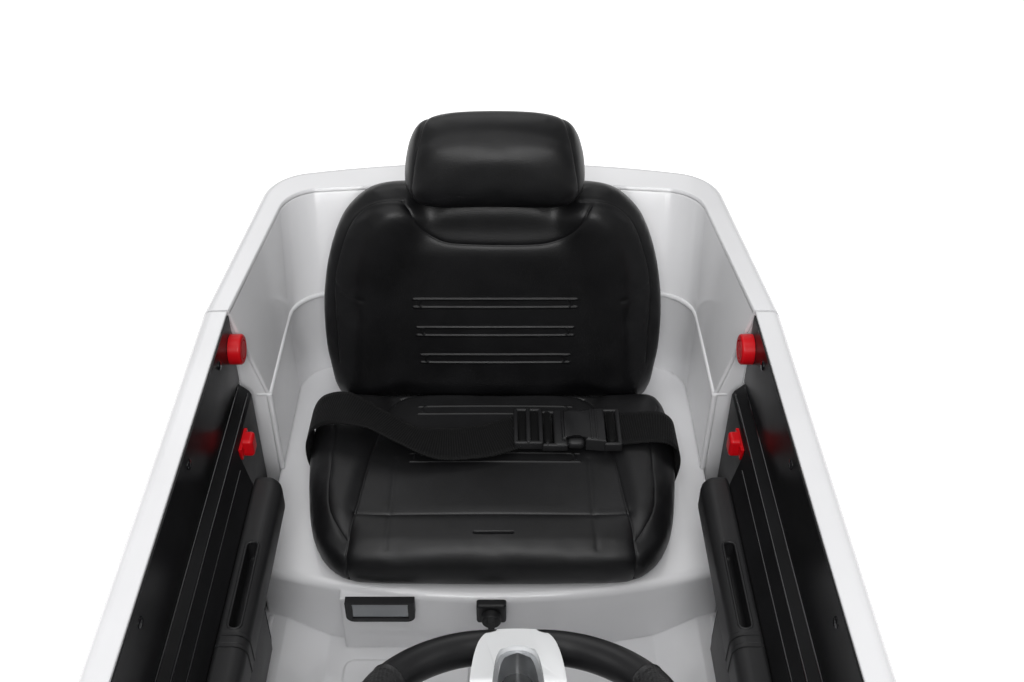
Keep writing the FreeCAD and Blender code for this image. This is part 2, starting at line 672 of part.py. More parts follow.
def door_panel():
    """The left door's inner panel: a thick lower part, a ledge and an upright upper part below the rim."""
    wall, (y0, y1) = D["wall"], DOOR_Y
    top, ridge = D["belt_z"] - wall, D["ridge_z"]
    front, rear = y0 + wall, y1 - wall
    step = RIM_INSIDE - RIDGE_X
    face = [(PANEL_FACE, PANEL_FLOOR_Z), (PANEL_FACE, D["belly_z"]), (RIDGE_X, ridge),
            (RIM_INSIDE, ridge + step)]
    lower = profile_bar(face + [(SKIN_INSIDE, ridge + step), (SKIN_INSIDE, PANEL_FLOOR_Z)],
                        front, PANEL_REAR_Y)
    floor_edge = [e for e in lower.Edges if abs(e.CenterOfMass.x - PANEL_FACE) < 0.01
                  and e.CenterOfMass.z < PANEL_FLOOR_Z + 0.01]
    lower = lower.makeFillet(7.0, floor_edge)
    upper = block((RIM_INSIDE, SKIN_INSIDE), (front, rear), (ridge + step - 1, top))
    strip = block((KNOB_FACE, RIM_INSIDE), (front, rear), (top - 44, top + 2))
    inside = [(x + wall + 1, z - 3) for x, z in face[1:]] + [(RIM_INSIDE + wall, top - wall)]
    hollow = profile_bar([(PANEL_FACE + wall + 1, PANEL_FLOOR_Z + wall + 1)] + inside
                         + [(SKIN_INSIDE + 1, top - wall), (SKIN_INSIDE + 1, PANEL_FLOOR_Z + wall + 1)],
                         front + 8, BELLY_REAR_Y[0] - 6)
    solid = lower.fuse(upper).cut(hollow).fuse(strip)
    before, after = BELLY_REAR_Y
    set_back = polygon([Vector(PANEL_FACE - 1, before - 1, 0), Vector(LATCH_FACE, after, 0),
                        Vector(LATCH_FACE, FAR, 0), Vector(PANEL_FACE - 1, FAR, 0)])
    solid = solid.cut(prism(set_back, 0, ridge + 1)).removeSplitter()
    spindle = Part.makeCylinder(SPINDLE_R + D["running_gap"], SPINDLE_LENGTH + 1,
                                Vector(KNOB_FACE - 2, KNOB_Y, KNOB_Z), X)
    solid = solid.cut(spindle)
    length, height = LATCH_STEM
    slot = block((LATCH_FACE - 1, LATCH_FACE + 7),
                 (LATCH_Y - length / 2 - 1, LATCH_Y + length / 2 + LATCH_TRAVEL + 1),
                 (LATCH_Z - height / 2 - LATCH_SLIP, LATCH_Z + height / 2 + LATCH_SLIP))
    return solid.cut(slot)


ARMREST_X = (PANEL_FACE - 26.0, PANEL_FACE)
ARMREST_Y = (-104.0, 196.0)
ARMREST_Z = (252.0, 291.0)
GRIP_SLOT = ((PANEL_FACE - 18.0, PANEL_FACE - 7.0), (20.0, 112.0), (268.0, 300.0))


def door_armrest():
    """A rounded bar along the left door with a pull slot in its top."""
    bar = block(ARMREST_X, ARMREST_Y, ARMREST_Z)
    inner = [e for e in bar.Edges if e.CenterOfMass.x < PANEL_FACE - 0.01]
    return bar.makeFillet(11.0, inner).cut(block(*GRIP_SLOT))


KNOB_RING = (8.0, 9.5)                             # groove on the knob's face


def door_knob():
    """The left door's round lock knob on its spindle, with a ring on its face."""
    start = KNOB_FACE - LATCH_SLIP - D["knob_length"]
    at = Vector(start, KNOB_Y, KNOB_Z)
    knob = Part.makeCylinder(D["knob_r"], D["knob_length"], at, X)
    face = [e for e in knob.Edges if abs(e.CenterOfMass.x - start) < 0.01 and e.Closed]
    knob = knob.makeFillet(2.5, face)
    inner, outer = KNOB_RING
    ring = Part.makeCylinder(outer, 1.2, at, X).cut(Part.makeCylinder(inner, 1.2, at, X))
    spindle = Part.makeCylinder(SPINDLE_R, SPINDLE_LENGTH - 1, Vector(KNOB_FACE - 1, KNOB_Y, KNOB_Z), X)
    return knob.cut(ring).fuse(spindle).removeSplitter()


def door_latch():
    """The left door's sliding latch: a flat shoe, a thumb block and a stem in the panel's slot."""
    length, height = LATCH_STEM
    face = LATCH_FACE - LATCH_SLIP
    shoe = block((face - 3, face), (LATCH_Y - 15, LATCH_Y + 15), (LATCH_Z - 6, LATCH_Z + 6))
    thumb = block((face - 12, face - 3), (LATCH_Y - 8, LATCH_Y + 8), (LATCH_Z - 10, LATCH_Z + 10))
    thumb = thumb.makeFillet(3.5, [e for e in thumb.Edges if e.CenterOfMass.x < face - 3.01])
    stem = block((face, LATCH_FACE + 6), (LATCH_Y - length / 2, LATCH_Y + length / 2),
                 (LATCH_Z - height / 2, LATCH_Z + height / 2))
    return shoe.fuse(thumb).fuse(stem).removeSplitter()


def hinge_seats(solid):
    """Cuts room for the door's lugs into the front shell and adds the bosses that hold the pins."""
    for mirror in (lambda s: s, mirror_x):
        for low, high in HINGE_LUGS:
            room = pin_rod(LUG_R + 0.8, low - LUG_GAP, high + LUG_GAP)
            solid = solid.cut(mirror(room))
            under = (low - LUG_GAP - BOSS_HEIGHT, low - LUG_GAP)
            over = (high + LUG_GAP, high + LUG_GAP + BOSS_HEIGHT)
            for z in (under, over):
                boss = pin_rod(LUG_R, *z)
                solid = solid.fuse(mirror(boss)).cut(mirror(pin_rod(D["hinge_r"], *z)))
    return solid.removeSplitter()


def hinge_pins():
    pins = []
    for low, high in HINGE_LUGS:
        pin = pin_rod(D["hinge_r"], low - LUG_GAP - BOSS_HEIGHT, high + LUG_GAP + BOSS_HEIGHT)
        pins += [pin, mirror_x(pin)]
    return Part.makeCompound(pins)


subparts["front_shell"].Shape = hinge_seats(subparts["front_shell"].Shape)
subpart("door_hinge_pins", feature("door_hinge_pins", hinge_pins()))
for make in (door_skin, door_panel, door_armrest, door_knob, door_latch):
    left = make()
    for side, sign in SIDES:
        label = f"{make.__name__}_{side}"
        subpart(label, feature(label, left if sign > 0 else mirror_x(left)))


# Chassis pan and side steps
PAN_TOP = TUB_BOTTOM
PAN_HALF = 214.0
SPINE_HALF = 150.0
PAN_REAR_Y = 345.0                                 # the wide pan ends ahead of the drive units
TONGUE_HALF = 120.0
TONGUE_TOP = 74.0
TONGUE_THICK = 8.0
STEP_X = (D["body_half"] - 2 * D["wall"], FLARE_X - 4)
STEP_Z = (TUB_BOTTOM - 1, TUB_BOTTOM + 16)
STEP_GAP = 8.0


def chassis_pan():
    """The under-tray: a wide pan, a spine between the drive units and a lower tongue under the steering."""
    bottom = PAN_TOP - D["pan_thickness"]
    wide = block((-PAN_HALF, PAN_HALF), (D["fender_y"] - 40, PAN_REAR_Y), (bottom, PAN_TOP))
    wide = wide.makeFillet(20.0, upright_edges(wide, lambda c: True))
    spine = block((-SPINE_HALF, SPINE_HALF), (PAN_REAR_Y - 40, D["tub_rear_y"] + 20), (bottom, PAN_TOP))
    neck = block((-TONGUE_HALF, TONGUE_HALF), (D["footwell_y"] + 4, D["fender_y"]),
                 (TONGUE_TOP - TONGUE_THICK, PAN_TOP))
    tongue = block((-TONGUE_HALF, TONGUE_HALF), (D["front_y"] + 60, D["footwell_y"] + 20),
                   (TONGUE_TOP - TONGUE_THICK, TONGUE_TOP))
    solid = wide.fuse(spine).fuse(neck).fuse(tongue)
    for x in (-130, -45, 45, 130):
        rib = block((x - 4, x + 4), (D["fender_y"], PAN_REAR_Y - 30), (bottom - 10, bottom + 1))
        solid = solid.fuse(rib)
    for side in (1, -1):
        post = block((40, 70), (D["front_axle_y"] - 11, D["front_axle_y"] + 11), (TONGUE_TOP - 1, BEAM_Z[0]))
        solid = solid.fuse(post if side > 0 else mirror_x(post))
    return solid.removeSplitter()


def side_steps():
    """A step under each door, between the wheel arches."""
    y = (D["front_axle_y"] + D["front_arch_r"] + D["flare_width"] + STEP_GAP,
         D["rear_axle_y"] - D["arch_r"] - D["flare_width"] - STEP_GAP)
    step = block(STEP_X, y, STEP_Z)
    step = step.makeFillet(5.0, [e for e in step.Edges if e.CenterOfMass.x > STEP_X[0] + 0.01])
    return Part.makeCompound([step, mirror_x(step)])


BEAM_Z = (D["wheel_r"] - 11.0, D["wheel_r"] + 11.0)
subpart("chassis_pan", feature("chassis_pan", chassis_pan()))
subpart("side_steps", feature("side_steps", side_steps()))


# Wheels: a tyre and a spoked rim at each corner, both turned profiles
CORNERS = [(f"{end}_{side}", sign, f"{end}_axle_y") for end in ("front", "rear") for side, sign in SIDES]
HUB_IN = 38.0                      # inner face of the hub from the middle of the wheel
HUB_OUT = 30.0                     # outer face of the hub from the middle of the wheel
HUB_R = 18.0
RIM_WINDOWS = 6


def turned(name, points):
    """A body turned about its own X axis; each corner is a pair: along the axis, from the axis."""
    body = doc.addObject("PartDesign::Body", name)
    profile = sketch(body, f"{name}_profile", "XY_Plane", points)
    turn = body.newObject("PartDesign::Revolution", f"{name}_turn")
    turn.Profile = profile
    turn.ReferenceAxis = (profile, ["H_Axis"])
    turn.Angle = 360
    return body


def tyre(label, sign, axle_y):
    half = [
        ("tyre_width / 2 - 5", "rim_r"),
        ("tyre_width / 2", "rim_r + 9"),
        ("tyre_width / 2", "wheel_r - 20"),
        ("tyre_width / 2 - 5", "wheel_r - 7"),
        ("tyre_width / 2 - 14", "wheel_r"),
        ("11", "wheel_r"),
        ("10", "wheel_r - 4"),
        ("7", "wheel_r - 4"),
        ("6", "wheel_r"),
    ]
    body = turned(f"tyre_{label}", half + [(f"-({u})", v) for u, v in reversed(half)])
    set_place(body, f"{sign} * wheel_x", axle_y, "wheel_r")
    return body


def rim(label, sign, axle_y):
    bore = "axle_r + running_gap"
    profile = [
        (f"{-HUB_IN}", bore),
        (f"{HUB_OUT}", bore),
        (f"{HUB_OUT}", "15"),
        ("24", "20"),
        ("15", "25"),
        ("19", "rim_r - 15"),
        ("29", "rim_r - 6"),
        ("29", "rim_r"),
        ("-29", "rim_r"),
        ("-29", "rim_r - 5"),
        ("2", "rim_r - 9"),
        ("4", "26"),
        ("-8", f"{HUB_R}"),
        (f"{-HUB_IN}", f"{HUB_R}"),
    ]
    name = f"rim_{label}"
    body = turned(name, [(f"{sign} * ({u})", v) for u, v in profile])
    window = sketch(body, f"{name}_window", "YZ_Plane",
                    [("-7", "32"), ("7", "32"), ("14", "rim_r - 19"), ("-14", "rim_r - 19")])
    pocket = body.newObject("PartDesign::Pocket", f"{name}_pocket")
    pocket.Profile = window
    pocket.Type = 1
    pocket.Midplane = True
    ring = body.newObject("PartDesign::PolarPattern", f"{name}_windows")
    ring.Originals = [pocket]
    ring.Axis = (window, ["N_Axis"])
    ring.Angle = 360
    ring.Occurrences = RIM_WINDOWS
    body.Tip = ring
    set_place(body, f"{sign} * wheel_x", axle_y, "wheel_r")
    return body


for label, sign, axle_y in CORNERS:
    subpart(f"tyre_{label}", tyre(label, sign, axle_y))
    subpart(f"rim_{label}", rim(label, sign, axle_y))


# Rear axle, drive units and power
CAP_R, CAP_GAP, CAP_LENGTH = 10.0, 0.5, 5.0         # caps that keep the wheels on


def span(sign, low, high):
    """A pair of bounds across the car, on the left for +1 and on the right for -1."""
    return (low, high) if sign > 0 else (f"-({high})", f"-({low})")


def rear_axle():
    cap_from = f"wheel_x + {HUB_OUT + CAP_GAP}"
    cap_to = f"wheel_x + {HUB_OUT + CAP_GAP + CAP_LENGTH}"
    at = ("rear_axle_y", "wheel_r")
    pieces = [rod("rear_axle_bar", "x", "axle_r", f"-({cap_to})", cap_to, at)]
    for side, sign in SIDES:
        pieces.append(rod(f"rear_axle_cap_{side}", "x", f"{CAP_R}", *span(sign, cap_from, cap_to), at))
    return fuse("rear_axle", *pieces)


MOTOR_Y, MOTOR_Z = "rear_axle_y - 58", "wheel_r + 14"


def gearbox(side, sign):
    name = f"gearbox_{side}"
    case_x = span(sign, "158", "188")
    case = fuse(
        f"{name}_case",
        rod(f"{name}_output", "x", f"{DRIVE_HOLE_R - 2}", *span(sign, "158", f"wheel_x - {HUB_IN + 1}"),
            ("rear_axle_y", "wheel_r")),
        rod(f"{name}_input", "x", "motor_r + 6", *case_x, (MOTOR_Y, MOTOR_Z)),
        box(f"{name}_bridge", case_x, (MOTOR_Y, "rear_axle_y"), ("wheel_r - 8", "wheel_r + 33")),
        box(f"{name}_foot", span(sign, "112", "165"), ("rear_axle_y - 18", "rear_axle_y + 18"),
            ("pan_z", "pan_z + 18")),
    )
    bore = rod(f"{name}_bore", "x", "axle_r", *span(sign, "100", "wheel_x"), ("rear_axle_y", "wheel_r"))
    return cut(name, case, bore)


def drive_motor(side, sign):
    name = f"drive_motor_{side}"
    at = (MOTOR_Y, MOTOR_Z)
    can = rod(f"{name}_can", "x", "motor_r", *span(sign, "92", "158"), at)
    boss = rod(f"{name}_boss", "x", "motor_r / 3", *span(sign, "86", "92"), at)
    return fuse(name, can, boss)


def drive_motors():
    pair = doc.addObject("Part::Compound", "drive_motors")
    pair.Links = [drive_motor(side, sign) for side, sign in SIDES]
    return pair


subpart("rear_axle", rear_axle())
for side, sign in SIDES:
    subpart(f"gearbox_{side}", gearbox(side, sign))
subpart("drive_motors", drive_motors())

battery_case = box("battery_case", ("-battery_width / 2", "battery_width / 2"),
                   ("platform_y + 40", "platform_y + 40 + battery_length"),
                   ("pan_z", "pan_z + battery_height"))
terminals = [box(f"battery_terminal_{i}", (x, f"{x} + 10"), ("platform_y + 52", "platform_y + 60"),
                 ("pan_z + battery_height", "pan_z + battery_height + 8"))
             for i, x in enumerate(("-battery_width / 2 + 18", "battery_width / 2 - 28"))]
subpart("battery", fuse("battery", battery_case, *terminals))
control_case = box("control_case", ("-60", "60"), ("platform_y + 160", "platform_y + 215"),
                   ("pan_z", "pan_z + 30"))
subpart("control_box", control_case)


# Front axle and steering gear
KINGPIN_R = 6.0
BOSS_R = 13.0
BEAM_HALF_Y = 11.0
BOSS_Z = (BEAM_Z[0] - 7.0, BEAM_Z[1] + 7.0)
PLATE_GAP, PLATE = 0.5, 6.0
KNUCKLE_Z = (BOSS_Z[0] - PLATE_GAP - PLATE, BOSS_Z[1] + PLATE_GAP + PLATE)
BACK_PLATE_X = (D["kingpin_x"] + 15.0, D["kingpin_x"] + 20.0)
ARM_PIN_R = 3.0
TIE_Y = D["front_axle_y"] + D["arm_length"]
TIE_THICK = 6.0
TIE_Z = (KNUCKLE_Z[0] + PLATE + 0.5, KNUCKLE_Z[0] + PLATE + 0.5 + TIE_THICK)
TIE_SLOT = (5.4, 13.0)                             # half width and half length of the crank's slot
TILT = math.radians(D["column_tilt"])
COLUMN_AXIS = Vector(0, math.cos(TILT), math.sin(TILT))
CRANK_OUT = Vector(0, math.sin(TILT), -math.cos(TILT))
WHEEL_AT = Vector(D["wheel_centre_x"], D["wheel_centre_y"], D["wheel_centre_z"])
TIE_AT = Vector(D["wheel_centre_x"], TIE_Y, (TIE_Z[0] + TIE_Z[1]) / 2)
COLUMN_REACH = (WHEEL_AT - TIE_AT).dot(COLUMN_AXIS)
CRANK_R = (TIE_AT - WHEEL_AT).dot(CRANK_OUT)
CRANK_LIFT = (10.0, 18.0)                          # crank arm above the tie rod, along the column
CRANK_PIN_R, CRANK_PIN_REACH = 4.0, 11.0
BEARING_LIFT = (44.0, 64.0)                        # lower bearing above the tie rod, along the column
BEARING_R = 12.0


def on_column(lift, out=0.0):
    """A point on the column, measured up from the level of the tie rod, and out towards the crank."""
    return WHEEL_AT - COLUMN_AXIS * (COLUMN_REACH - lift) + CRANK_OUT * out


def column_rod(radius, low, high, out=0.0):
    return Part.makeCylinder(radius, high - low, on_column(low, out), COLUMN_AXIS)


def upright(radius, x, y, z):
    return Part.makeCylinder(radius, z[1] - z[0], Vector(x, y, z[0]), Z)


def front_axle_beam():
    """The beam between the kingpins, with the column's lower bearing on a bracket."""
    axle_y, kingpin = D["front_axle_y"], D["kingpin_x"]
    y = (axle_y - BEAM_HALF_Y, axle_y + BEAM_HALF_Y)
    solid = block((-kingpin + 6, kingpin - 6), y, BEAM_Z)
    for x in (kingpin, -kingpin):
        solid = solid.fuse(upright(BOSS_R, x, axle_y, BOSS_Z))
    bearing = on_column(sum(BEARING_LIFT) / 2)
    post_top = bearing.z + 12
    post_x = (bearing.x - 10, bearing.x + 10)
    solid = solid.fuse(block(post_x, (y[1] - 16, y[1] - 2), (BEAM_Z[1] - 1, post_top)))
    solid = solid.fuse(block(post_x, (y[1] - 16, bearing.y), (bearing.z - 8, post_top)))
    solid = solid.fuse(column_rod(BEARING_R, *BEARING_LIFT))
    solid = solid.cut(column_rod(D["column_r"] + D["running_gap"], 0, 100))
    for x in (kingpin, -kingpin):
        solid = solid.cut(upright(KINGPIN_R + D["running_gap"], x, axle_y, (0, FAR)))
    return solid.removeSplitter()


def knuckle():
    """The left steering knuckle: kingpin, fork plates, stub axle with its cap, and steering arm."""
    axle_y, kingpin, height = D["front_axle_y"], D["kingpin_x"], D["wheel_r"]
    low, high = KNUCKLE_Z
    fork_y = (axle_y - 10, axle_y + 10)
    solid = upright(KINGPIN_R, kingpin, axle_y, KNUCKLE_Z)
    for z in ((low, low + PLATE), (high - PLATE, high)):
        solid = solid.fuse(block((kingpin - 10, BACK_PLATE_X[1]), fork_y, z))
    solid = solid.fuse(block(BACK_PLATE_X, fork_y, KNUCKLE_Z))
    hub_face = D["wheel_x"] - HUB_IN
    cap_from = D["wheel_x"] + HUB_OUT + CAP_GAP
    for radius, start, end in (
        (D["axle_r"], BACK_PLATE_X[1] - 1, cap_from + CAP_LENGTH),
        (CAP_R, BACK_PLATE_X[1] - 1, hub_face - CAP_GAP),
        (CAP_R, cap_from, cap_from + CAP_LENGTH),
    ):
        solid = solid.fuse(Part.makeCylinder(radius, end - start, Vector(start, axle_y, height), X))
    solid = solid.fuse(block((kingpin - 7, kingpin + 7), (axle_y, TIE_Y), (low, low + PLATE)))
    solid = solid.fuse(upright(7, kingpin, TIE_Y, (low, low + PLATE)))
    solid = solid.fuse(upright(ARM_PIN_R, kingpin, TIE_Y, (low + PLATE - 1, TIE_Z[1] + 3)))
    return solid.removeSplitter()


def tie_rod():
    """The bar between the steering arms, with a slotted plate for the crank."""
    kingpin = D["kingpin_x"]
    solid = block((-kingpin, kingpin), (TIE_Y - 5, TIE_Y + 5), TIE_Z)
    middle = D["wheel_centre_x"]
    solid = solid.fuse(block((middle - 16, middle + 16), (TIE_Y - 19, TIE_Y + 19), TIE_Z))
    for x in (kingpin, -kingpin):
        solid = solid.fuse(upright(7, x, TIE_Y, TIE_Z)).cut(upright(ARM_PIN_R + 0.3, x, TIE_Y, (0, FAR)))
    half, length = TIE_SLOT
    slot = block((middle - half, middle + half), (TIE_Y - length, TIE_Y + length), (0, FAR))
    return solid.cut(slot).removeSplitter()


def steering_column():
    """The bent shaft from the steering wheel down to the crank pin in the tie rod's slot."""
    top = COLUMN_REACH - HUB_BACK + COLUMN_GRIP
    solid = column_rod(D["column_r"], CRANK_LIFT[0], top)
    solid = solid.fuse(column_rod(9, *CRANK_LIFT)).fuse(column_rod(8, *CRANK_LIFT, out=CRANK_R))
    arm = block((-6, 6), (0, CRANK_R), (0, CRANK_LIFT[1] - CRANK_LIFT[0]))
    arm.Placement = FreeCAD.Placement(on_column(CRANK_LIFT[0]), Rotation(X, CRANK_OUT, COLUMN_AXIS, "XYZ"))
    solid = solid.fuse(arm)
    solid = solid.fuse(column_rod(CRANK_PIN_R, -CRANK_PIN_REACH, CRANK_LIFT[1], out=CRANK_R))
    return solid.removeSplitter()


# Steering wheel: drawn flat with Y towards its top, then set on the column
GRIP_R = D["grip_r"]
RING_R = D["steering_r"] - GRIP_R
FLAT_V = 0.95 * RING_R                             # the flattened bottom of the ring
CORNER_R = 68.0
HUB_BACK, HUB_FACE = 25.0, 6.0                     # hub behind the plane of the ring
HUB_DISC_R = 38.0
COLUMN_GRIP = 8.0                                  # length of the column held in the hub
HORN_R, HORN_TRAVEL = 22.0, 2.5
TRIM_HALF = (20.0, 32.0)                           # half widths of the lower spoke's trim
WHEEL_PLACE = FreeCAD.Placement(WHEEL_AT, Rotation(X * -1, CRANK_OUT * -1, COLUMN_AXIS, "XYZ"))


def ring():
    """The D-shaped grip: an open circle closed by a flat bottom with rounded corners."""
    centre_v = CORNER_R - FLAT_V
    centre_u = math.sqrt((RING_R - CORNER_R) ** 2 - centre_v ** 2)
    reach = RING_R / (RING_R - CORNER_R)
    meet = Vector(centre_u * reach, centre_v * reach, 0)
    foot = Vector(centre_u, -FLAT_V, 0)
    centre = Vector(centre_u, centre_v, 0)
    bulge = centre + (meet + foot - centre * 2).normalize() * CORNER_R

    def flip(p):
        return Vector(-p.x, p.y, p.z)

    edges = [
        Part.Arc(Vector(0, RING_R, 0), Vector(-RING_R, 0, 0), flip(meet)).toShape(),
        Part.Arc(flip(meet), flip(bulge), flip(foot)).toShape(),
        Part.LineSegment(flip(foot), foot).toShape(),
        Part.Arc(foot, bulge, meet).toShape(),
        Part.Arc(meet, Vector(RING_R, 0, 0), Vector(0, RING_R, 0)).toShape(),
    ]
    section = Part.Wire(Part.makeCircle(GRIP_R, Vector(0, RING_R, 0), X))
    return Part.Wire(edges).makePipeShell([section], True, True)


def flat_cylinder(radius, low, high):
    return Part.makeCylinder(radius, high - low, Vector(0, 0, low), Z)


def steering_wheel():
    solid = ring().fuse(flat_cylinder(HUB_DISC_R, -HUB_BACK, -HUB_FACE))
    for sign in (1, -1):
        spoke = block((0, RING_R), (-14, 14), (-15, -5))
        spoke = spoke.makeFillet(4.0, [e for e in spoke.Edges if abs(e.tangentAt(e.FirstParameter).x) > 0.9])
        spoke.rotate(Vector(), Z, -12)
        solid = solid.fuse(spoke if sign > 0 else mirror_x(spoke))
    solid = solid.fuse(block((-14, 14), (-FLAT_V, 0), (-16, -HUB_FACE)))
    solid = solid.cut(flat_cylinder(HORN_R + 0.4, -HORN_SEAT, 0))
    return solid.cut(flat_cylinder(D["column_r"], -HUB_BACK - 1, -HUB_BACK + COLUMN_GRIP)).removeSplitter()


HORN_BACK = 10.0
HORN_SEAT = HORN_BACK + HORN_TRAVEL + 1.5


def horn_button():
    button = flat_cylinder(HORN_R, -HORN_BACK, -1)
    return button.makeFillet(3.0, [e for e in button.Edges if e.Closed and e.CenterOfMass.z > -1.01])


def steering_trim():
    """A bright U-shaped frame over the lower spoke."""
    near, far = -FLAT_V + 4, -HUB_DISC_R + 4
    slim, wide = TRIM_HALF
    outline = polygon(mirrored([Vector(slim, near, 0), Vector(wide, far, 0)]))
    opening = polygon(mirrored([Vector(slim - 9, near + 14, 0), Vector(wide - 10, far + 1, 0)]))
    plate = prism(outline, -HUB_FACE, 2).cut(prism(opening, -HUB_FACE - 1, 3))
    return plate.cut(ring()).cut(flat_cylinder(HORN_R + 6, -FAR, FAR)).Solids[0]


def on_wheel(shape):
    placed = shape.copy()
    placed.Placement = WHEEL_PLACE.multiply(shape.Placement)
    return placed


subpart("front_axle_beam", feature("front_axle_beam", front_axle_beam()))
left_knuckle = knuckle()
subpart("knuckle_left", feature("knuckle_left", left_knuckle))
subpart("knuckle_right", feature("knuckle_right", mirror_x(left_knuckle)))
subpart("tie_rod", feature("tie_rod", tie_rod()))
subpart("steering_column", feature("steering_column", steering_column()))
for make in (steering_wheel, steering_trim, horn_button):
    subpart(make.__name__, feature(make.__name__, on_wheel(make())))
COLUMN_HOLE = column_rod(D["column_r"] + 4, 60, COLUMN_REACH - HUB_BACK)
subparts["cockpit_tub"].Shape = subparts["cockpit_tub"].Shape.cut(COLUMN_HOLE)


# Dashboard with its switches and the column's upper bearing, and the windscreen
DASH_HALF = RIM_INSIDE
DASH_FRONT = D["cowl_y"]
DASH_TOP = D["hood_z"] + 2.0
DASH_FACE = -178.0                                 # rear face of the dashboard, towards the driver
SWITCH_Z = 385.0
LEVER_X, LEVER_DEEP = -138.0, 10.0                 # shift lever across the car, and its axis inside the face
LEVER_R, LEVER_HALF = 9.0, 8.0
TRUNNION_R = 3.0
BUTTON_X, BUTTON_R, BUTTON_TRAVEL = 138.0, 9.0, 3.0
BOSS_DROP = (44.0, 112.0)                          # column bearing below the steering wheel, along the column


def dashboard():
    outline = [
        (DASH_FRONT, TUB_FRONT_Z),
        (DASH_FRONT, DASH_TOP),
        (DASH_FACE - 44, DASH_TOP),
        (DASH_FACE - 10, DASH_TOP - 10),
        (DASH_FACE, DASH_TOP - 26),
        (DASH_FACE - 2, SWITCH_Z - 30),
        (DASH_FACE - 24, TUB_FRONT_Z + 14),
        (DASH_FACE - 34, TUB_FRONT_Z),
    ]
    wire = polygon([Vector(-DASH_HALF, y, z) for y, z in outline])
    solid = Part.Face(wire).extrude(Vector(2 * DASH_HALF, 0, 0))
    skin = 6.0
    hollow = block((skin - DASH_HALF, DASH_HALF - skin), (DASH_FRONT + skin, DASH_FACE - 38),
                   (0, DASH_TOP - skin))
    solid = solid.cut(hollow)
    boss_low, boss_high = BOSS_DROP
    boss = Part.makeCylinder(BEARING_R, boss_high - boss_low, WHEEL_AT - COLUMN_AXIS * boss_high, COLUMN_AXIS)
    solid = solid.fuse(boss).cut(column_rod(D["column_r"] + D["running_gap"], 0, COLUMN_REACH - boss_low + 1))
    axis_y = DASH_FACE - LEVER_DEEP
    barrel = Part.makeCylinder(LEVER_R + 0.5, 2 * LEVER_HALF + 1,
                               Vector(LEVER_X - LEVER_HALF - 0.5, axis_y, SWITCH_Z), X)
    ends = Part.makeCylinder(TRUNNION_R + D["running_gap"], 2 * LEVER_HALF + 12,
                             Vector(LEVER_X - LEVER_HALF - 6, axis_y, SWITCH_Z), X)
    slot = block((LEVER_X - 6.5, LEVER_X + 6.5), (axis_y, DASH_FACE + 5), (SWITCH_Z - 15, SWITCH_Z + 15))
    button = Part.makeCylinder(BUTTON_R + 0.3, 40, Vector(BUTTON_X, DASH_FACE - 20, SWITCH_Z), Y)
    for tool in (barrel, ends, slot, button):
        solid = solid.cut(tool)
    return solid


def shift_lever():
    axis_y = DASH_FACE - LEVER_DEEP
    solid = Part.makeCylinder(LEVER_R, 2 * LEVER_HALF, Vector(LEVER_X - LEVER_HALF, axis_y, SWITCH_Z), X)
    trunnion = Part.makeCylinder(TRUNNION_R, 2 * LEVER_HALF + 10,
                                 Vector(LEVER_X - LEVER_HALF - 5, axis_y, SWITCH_Z), X)
    solid = solid.fuse(trunnion)
    solid = solid.fuse(Part.makeCylinder(4.5, 40, Vector(LEVER_X, axis_y, SWITCH_Z), Y))
    return solid.fuse(Part.makeSphere(9.0, Vector(LEVER_X, axis_y + 44, SWITCH_Z))).removeSplitter()


def power_button():
    start = DASH_FACE - 20 + BUTTON_TRAVEL + 2
    button = Part.makeCylinder(BUTTON_R, DASH_FACE + 5 - start, Vector(BUTTON_X, start, SWITCH_Z), Y)
    return button.makeFillet(2.0, [e for e in button.Edges if e.Closed and e.CenterOfMass.y > DASH_FACE])


SCREEN_THICK = 4.0
SCREEN_FOOT = (218.0, -266.0, -230.0, DASH_TOP)    # half width, y in the middle, y at the sides, height
SCREEN_HEAD = (186.0, -250.0, -220.0, 518.0)


def screen_section(half, middle, side, z):
    """One level of the windscreen: a thin curved strip."""
    t = SCREEN_THICK
    corners = [Vector(-half, side, z), Vector(half, side, z),
               Vector(half, side + t, z), Vector(-half, side + t, z)]
    front = Part.Arc(corners[0], Vector(0, middle, z), corners[1]).toShape()
    back = Part.Arc(corners[2], Vector(0, middle + t, z), corners[3]).toShape()
    ends = [Part.LineSegment(corners[1], corners[2]).toShape(),
            Part.LineSegment(corners[3], corners[0]).toShape()]
    return Part.Wire([front, ends[0], back, ends[1]])


def windscreen():
    return Part.makeLoft([screen_section(*SCREEN_FOOT), screen_section(*SCREEN_HEAD)], True, True)


# Accelerator pedal between ears on the footwell floor
PEDAL_X = (-108.0, -38.0)
PEDAL_AT = (-178.0, D["floor_z"] + 12.0)            # hinge axis: y and z
PEDAL_RISE = 28.0
PEDAL_LENGTH, PEDAL_PLATE = 66.0, 7.0
BARREL_R = 6.5
EAR = 5.0


def pedal_ears():
    """Two ears on the footwell floor that carry the pedal's pin."""
    y, z = PEDAL_AT
    x0, x1 = PEDAL_X
    pin = Part.makeCylinder(TRUNNION_R + D["running_gap"], FAR, Vector(-FAR / 2, y, z), X)
    ears = [block(x, (y - 8, y + 8), (D["floor_z"] - 1, z + 8)).cut(pin)
            for x in ((x0 - EAR - 0.5, x0 - 0.5), (x1 + 0.5, x1 + EAR + 0.5))]
    return ears[0].fuse(ears[1])


